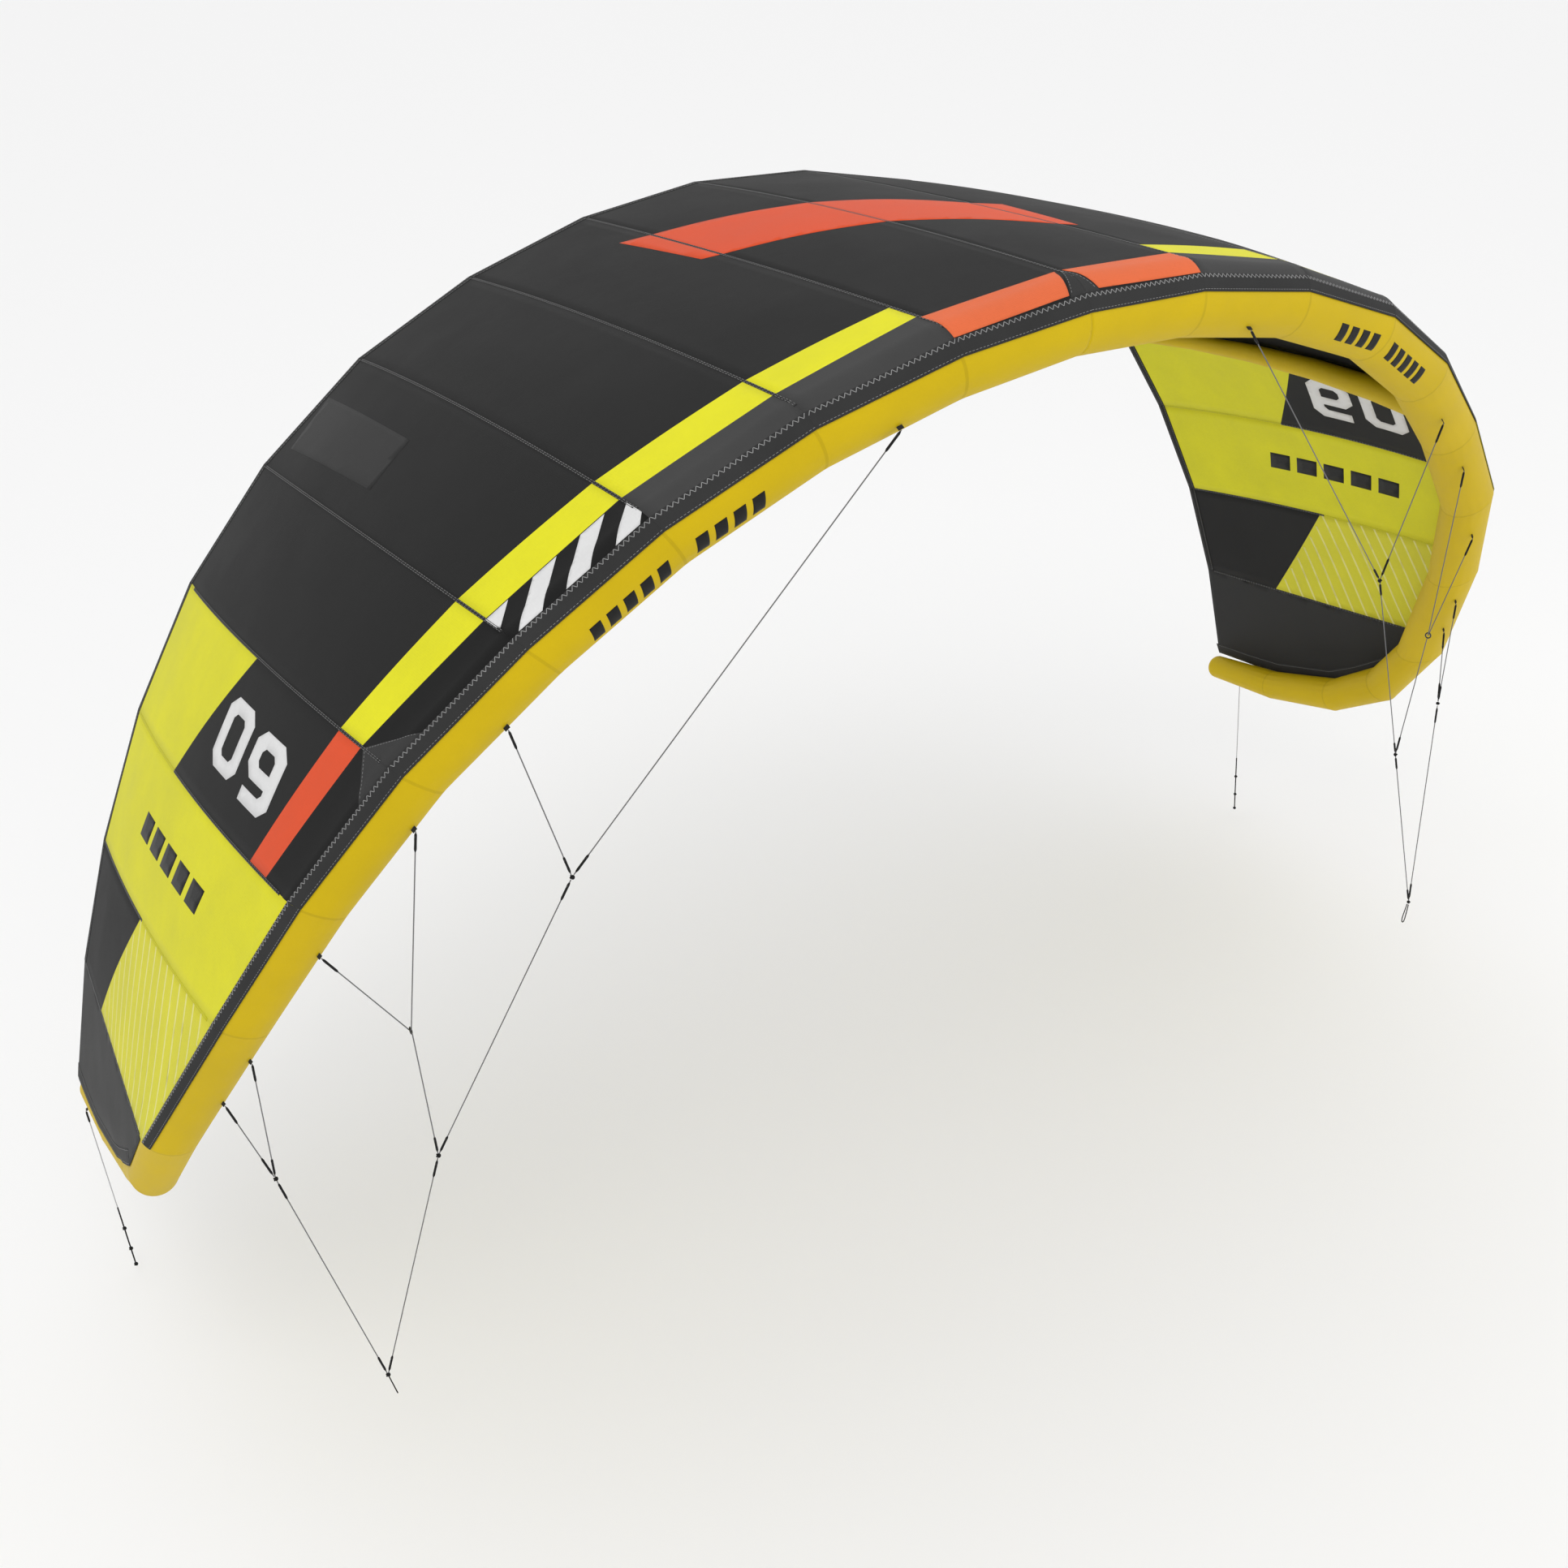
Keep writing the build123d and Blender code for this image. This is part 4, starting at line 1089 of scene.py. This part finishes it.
def tip(wing, side):
    """Flat outer panel, its reinforced edge and the stitching along it."""
    shell = Shell(["tip_dark", "patch", "thread"])
    base, normal = tip_plane()
    corners = [rib_point(8, LEAVE[8]), TE[8], TE[9]] + [on_tip(y, z) for y, z in TIP_EDGE]
    ex = (TE[9] - TE[8]).normalized()
    ey = normal.cross(ex)
    flat = [Vector(((p - base).dot(ex), (p - base).dot(ey))) for p in corners]

    centre = [Vector(((p - base).dot(ex), (p - base).dot(ey))) for p in LE[8:]]
    sinks = [0.0] + [joint[2] for joint in TIP_JOINTS]

    def dip(q):
        """How far the cloth is drawn down on to the tube at a place on the panel."""
        best = (1e9, 0.0)
        for a, b, sa, sb in zip(centre, centre[1:], sinks, sinks[1:]):
            f = min(max((q - a).dot(b - a) / (b - a).length_squared, 0.0), 1.0)
            best = min(best, ((q - a.lerp(b, f)).length, sa + (sb - sa) * f))
        reach = max(0.0, 1 - best[0] / 110)
        return best[1] * reach * reach * (3 - 2 * reach)

    def spot(x, y):
        return base + ex * x + ey * y + normal * (1.2 - dip(Vector((x, y)))), normal

    middle = sum(flat, Vector((0, 0))) / len(flat)
    flat[4:] = [p + (p - middle).normalized() * TIP_OVERLAP for p in flat[4:]]
    laid(shell, "tip_dark", [flat], spot, [(-CLOTH_HALF, CLOTH_HALF)], step=24.0)
    edge = flat[2:]
    inner = []
    for n, p in enumerate(edge):
        a, b = edge[max(n - 1, 0)], edge[min(n + 1, len(edge) - 1)]
        aside = Vector((-(b - a).y, (b - a).x)).normalized()
        aside = aside if aside.dot(middle - p) > 0 else -aside
        inner.append(p + aside * TIP_BORDER)
    border = [edge + inner[::-1]]
    layers = [(face * (CLOTH_HALF - 0.1), face * (CLOTH_HALF + 0.5)) for face in (1, -1)]
    laid(shell, "patch", border, spot, layers, step=12.0)
    for face in (1, -1):
        for share in (0.12, 0.88):
            row = [p.lerp(q, share) for p, q in zip(edge, inner)]
            for a, b in zip(row, row[1:]):
                count = int((b - a).length / 10)
                for j in range(count):
                    p, _ = spot(*a.lerp(b, j / count))
                    q, _ = spot(*a.lerp(b, (j + 0.6) / count))
                    lift = normal * face * (CLOTH_HALF + 0.5)
                    shell.bar(p + lift, q + lift, normal * face, 1.0, 0.35, "thread")
    settle(shell.build(f"canopy_{wing}_tip_panel", side), f"canopy_{wing}_9", slot="canopy_dark")


def prints(wing, side):
    """Coloured shapes, figures, plain marks and reinforcing patches of one wing."""
    shell = Shell(["coral", "orange", "white", "patch", "pin", "ink", "tip_dark", "thread"])
    printed(shell, "coral", 1, [(1.0, 1450), (0.03, 1480), (0.12, 1565), (1.0, 1554)], step=8.0, lift=0.4)

    def slope(reach):
        """Front-to-back place of the centre band, reach panels out from the centre."""
        return 560 + 190 * reach * side

    printed(shell, "orange", 1, [(0, slope(0)), (1, slope(1)), (1, slope(1) + SLASH),
                                 (0, slope(0) + SLASH)])
    printed(shell, "orange", 2, [(0, slope(1)), (0.2, slope(1.2)), (0.12, slope(1.12) + SLASH),
                                 (0, slope(1) + SLASH)])
    for low in (0.83, 0.47, 0.12, -0.24):
        outline = clip_bar(low, low + 0.175, 0.30, lambda v: band_end(4, 1, v) + 3,
                           lambda v: strip_start(4, v) - 2)
        printed(shell, "white", 4, outline, step=9.0)
    printed(shell, "tip_dark", 4, [(0.35, 38), (0.35, 643), (0.75, 673), (0.80, 93)])
    near, far = (772, 975) if side < 0 else (975, 772)
    digit(shell, ZERO, side, 0.50, near)
    digit(shell, NINE, side, 0.53, far)
    for n in range(5):
        d = 402 + 108 * n
        printed(shell, "ink", 7, [(0.38, d + 16), (0.38, d + 96), (0.56, d + 78), (0.56, d - 2)])
    first, last = strip_start(8, 0), strip_start(8, 1)
    for n in range(19):
        d = 200 + PIN_PITCH * n
        v0 = max(0.0, (band_end(8, 0, 0) + 6 - d) / (PIN_RISE + band_end(8, 0, 0) - band_end(8, 0, 1)))
        v1 = min(1.0, (first - 10 - d) / (PIN_RISE + first - last))
        if v1 - v0 > 0.04:
            low, high = d + PIN_RISE * v0, d + PIN_RISE * v1
            printed(shell, "pin", 8, [(v0, low), (v1, high), (v1, high + PIN_WIDTH),
                                      (v0, low + PIN_WIDTH)], lift=0.2)
    printed(shell, "patch", 1, [(0, 1485), (0.12, strip_start(1, 0.12)), (0, strip_start(1, 0))],
            step=9.0, lift=0.5)
    printed(shell, "patch", 5, [(1, 1270), (1, strip_start(5, 1)), (0.72, strip_start(5, 0.72))],
            step=9.0, lift=0.5)
    printed(shell, "patch", 6, [(0, 1270), (0.28, strip_start(6, 0.28)), (0, strip_start(6, 0))],
            step=9.0, lift=0.5)
    for k, (v0, d0), (v1, d1) in ((1, (0.0, 1490), (0.105, 1571)), (5, (0.99, 1280), (0.735, 1388)),
                                  (6, (0.01, 1280), (0.265, 1351))):
        for face in (1, -1):
            stitch_line(shell, [(k, v0 + (v1 - v0) * n / 8, d0 + (d1 - d0) * n / 8) for n in range(9)],
                        face * (CLOTH_HALF + 0.5), face, 5.0, 3.0)
    settle(shell.build(f"prints_{wing}_laid", side), slot="canopy_dark")
    shell = Shell(["ink"])
    for start, count in ((2.42, 4), (3.09, 5)):
        for n in range(count):
            tube_mark(shell, start + 0.13 * n, start + 0.13 * n + 0.085, 184, 216, 0.03)
    settle(shell.build(f"tube_marks_{wing}_laid", side), slot="casing_cloth")


for wing, side in WINGS:
    tip(wing, side)
    prints(wing, side)



# ---- carried CAD nodes -----------------------------------------------------
CARRIED = {"le_bladder": "film", "strut_bladder": "film", "hoses": "hose", "hose_fittings": "moulded",
           "clip_body": "moulded", "clip_lever": "lever", "inflate_valve": "moulded",
           "dump_valve": "moulded", "inflate_cap": "moulded", "dump_cap": "moulded",
           "slider_ring": "ring", "line_tabs": "webbing"}
for node_name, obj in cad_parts.items():
    for start_, look in CARRIED.items():
        if node_name.startswith(start_):
            obj.data.materials.clear()
            obj.data.materials.append(MATERIALS[look])

# ---- studio ----------------------------------------------------------------
floor_mesh = bpy.data.meshes.new("floor")
low = cad_box[0].z - 0.03
floor_mesh.from_pydata([(-40, -40, low), (40, -40, low), (40, 40, low), (-40, 40, low)], [],
                       [(0, 1, 2, 3)])
floor = bpy.data.objects.new("floor", floor_mesh)
COLLECTION.objects.link(floor)
pale = bpy.data.materials.new("floor_pale")
pale.use_nodes = True
pale.node_tree.nodes["Principled BSDF"].inputs["Base Color"].default_value = (0.95, 0.95, 0.95, 1)
pale.node_tree.nodes["Principled BSDF"].inputs["Roughness"].default_value = 0.9
floor.data.materials.append(pale)

world = bpy.data.worlds.new("studio")
bpy.context.scene.world = world
world.use_nodes = True
world.node_tree.nodes["Background"].inputs["Color"].default_value = (1, 1, 1, 1)
world.node_tree.nodes["Background"].inputs["Strength"].default_value = 0.95
bpy.context.scene.view_settings.view_transform = "Standard"


def lamp(name, position, target, size, watts):
    data = bpy.data.lights.new(name, "AREA")
    data.size, data.energy = size, watts
    obj = bpy.data.objects.new(name, data)
    COLLECTION.objects.link(obj)
    obj.location = position
    obj.rotation_euler = (Vector(target) - Vector(position)).to_track_quat("-Z", "Y").to_euler()


lamp("key", (-3.5, -4.0, 6.5), (0, 0.6, -0.6), 4.0, 130)
lamp("fill", (5.0, -4.5, 1.0), (0.6, 0.6, -1.0), 4.0, 40)
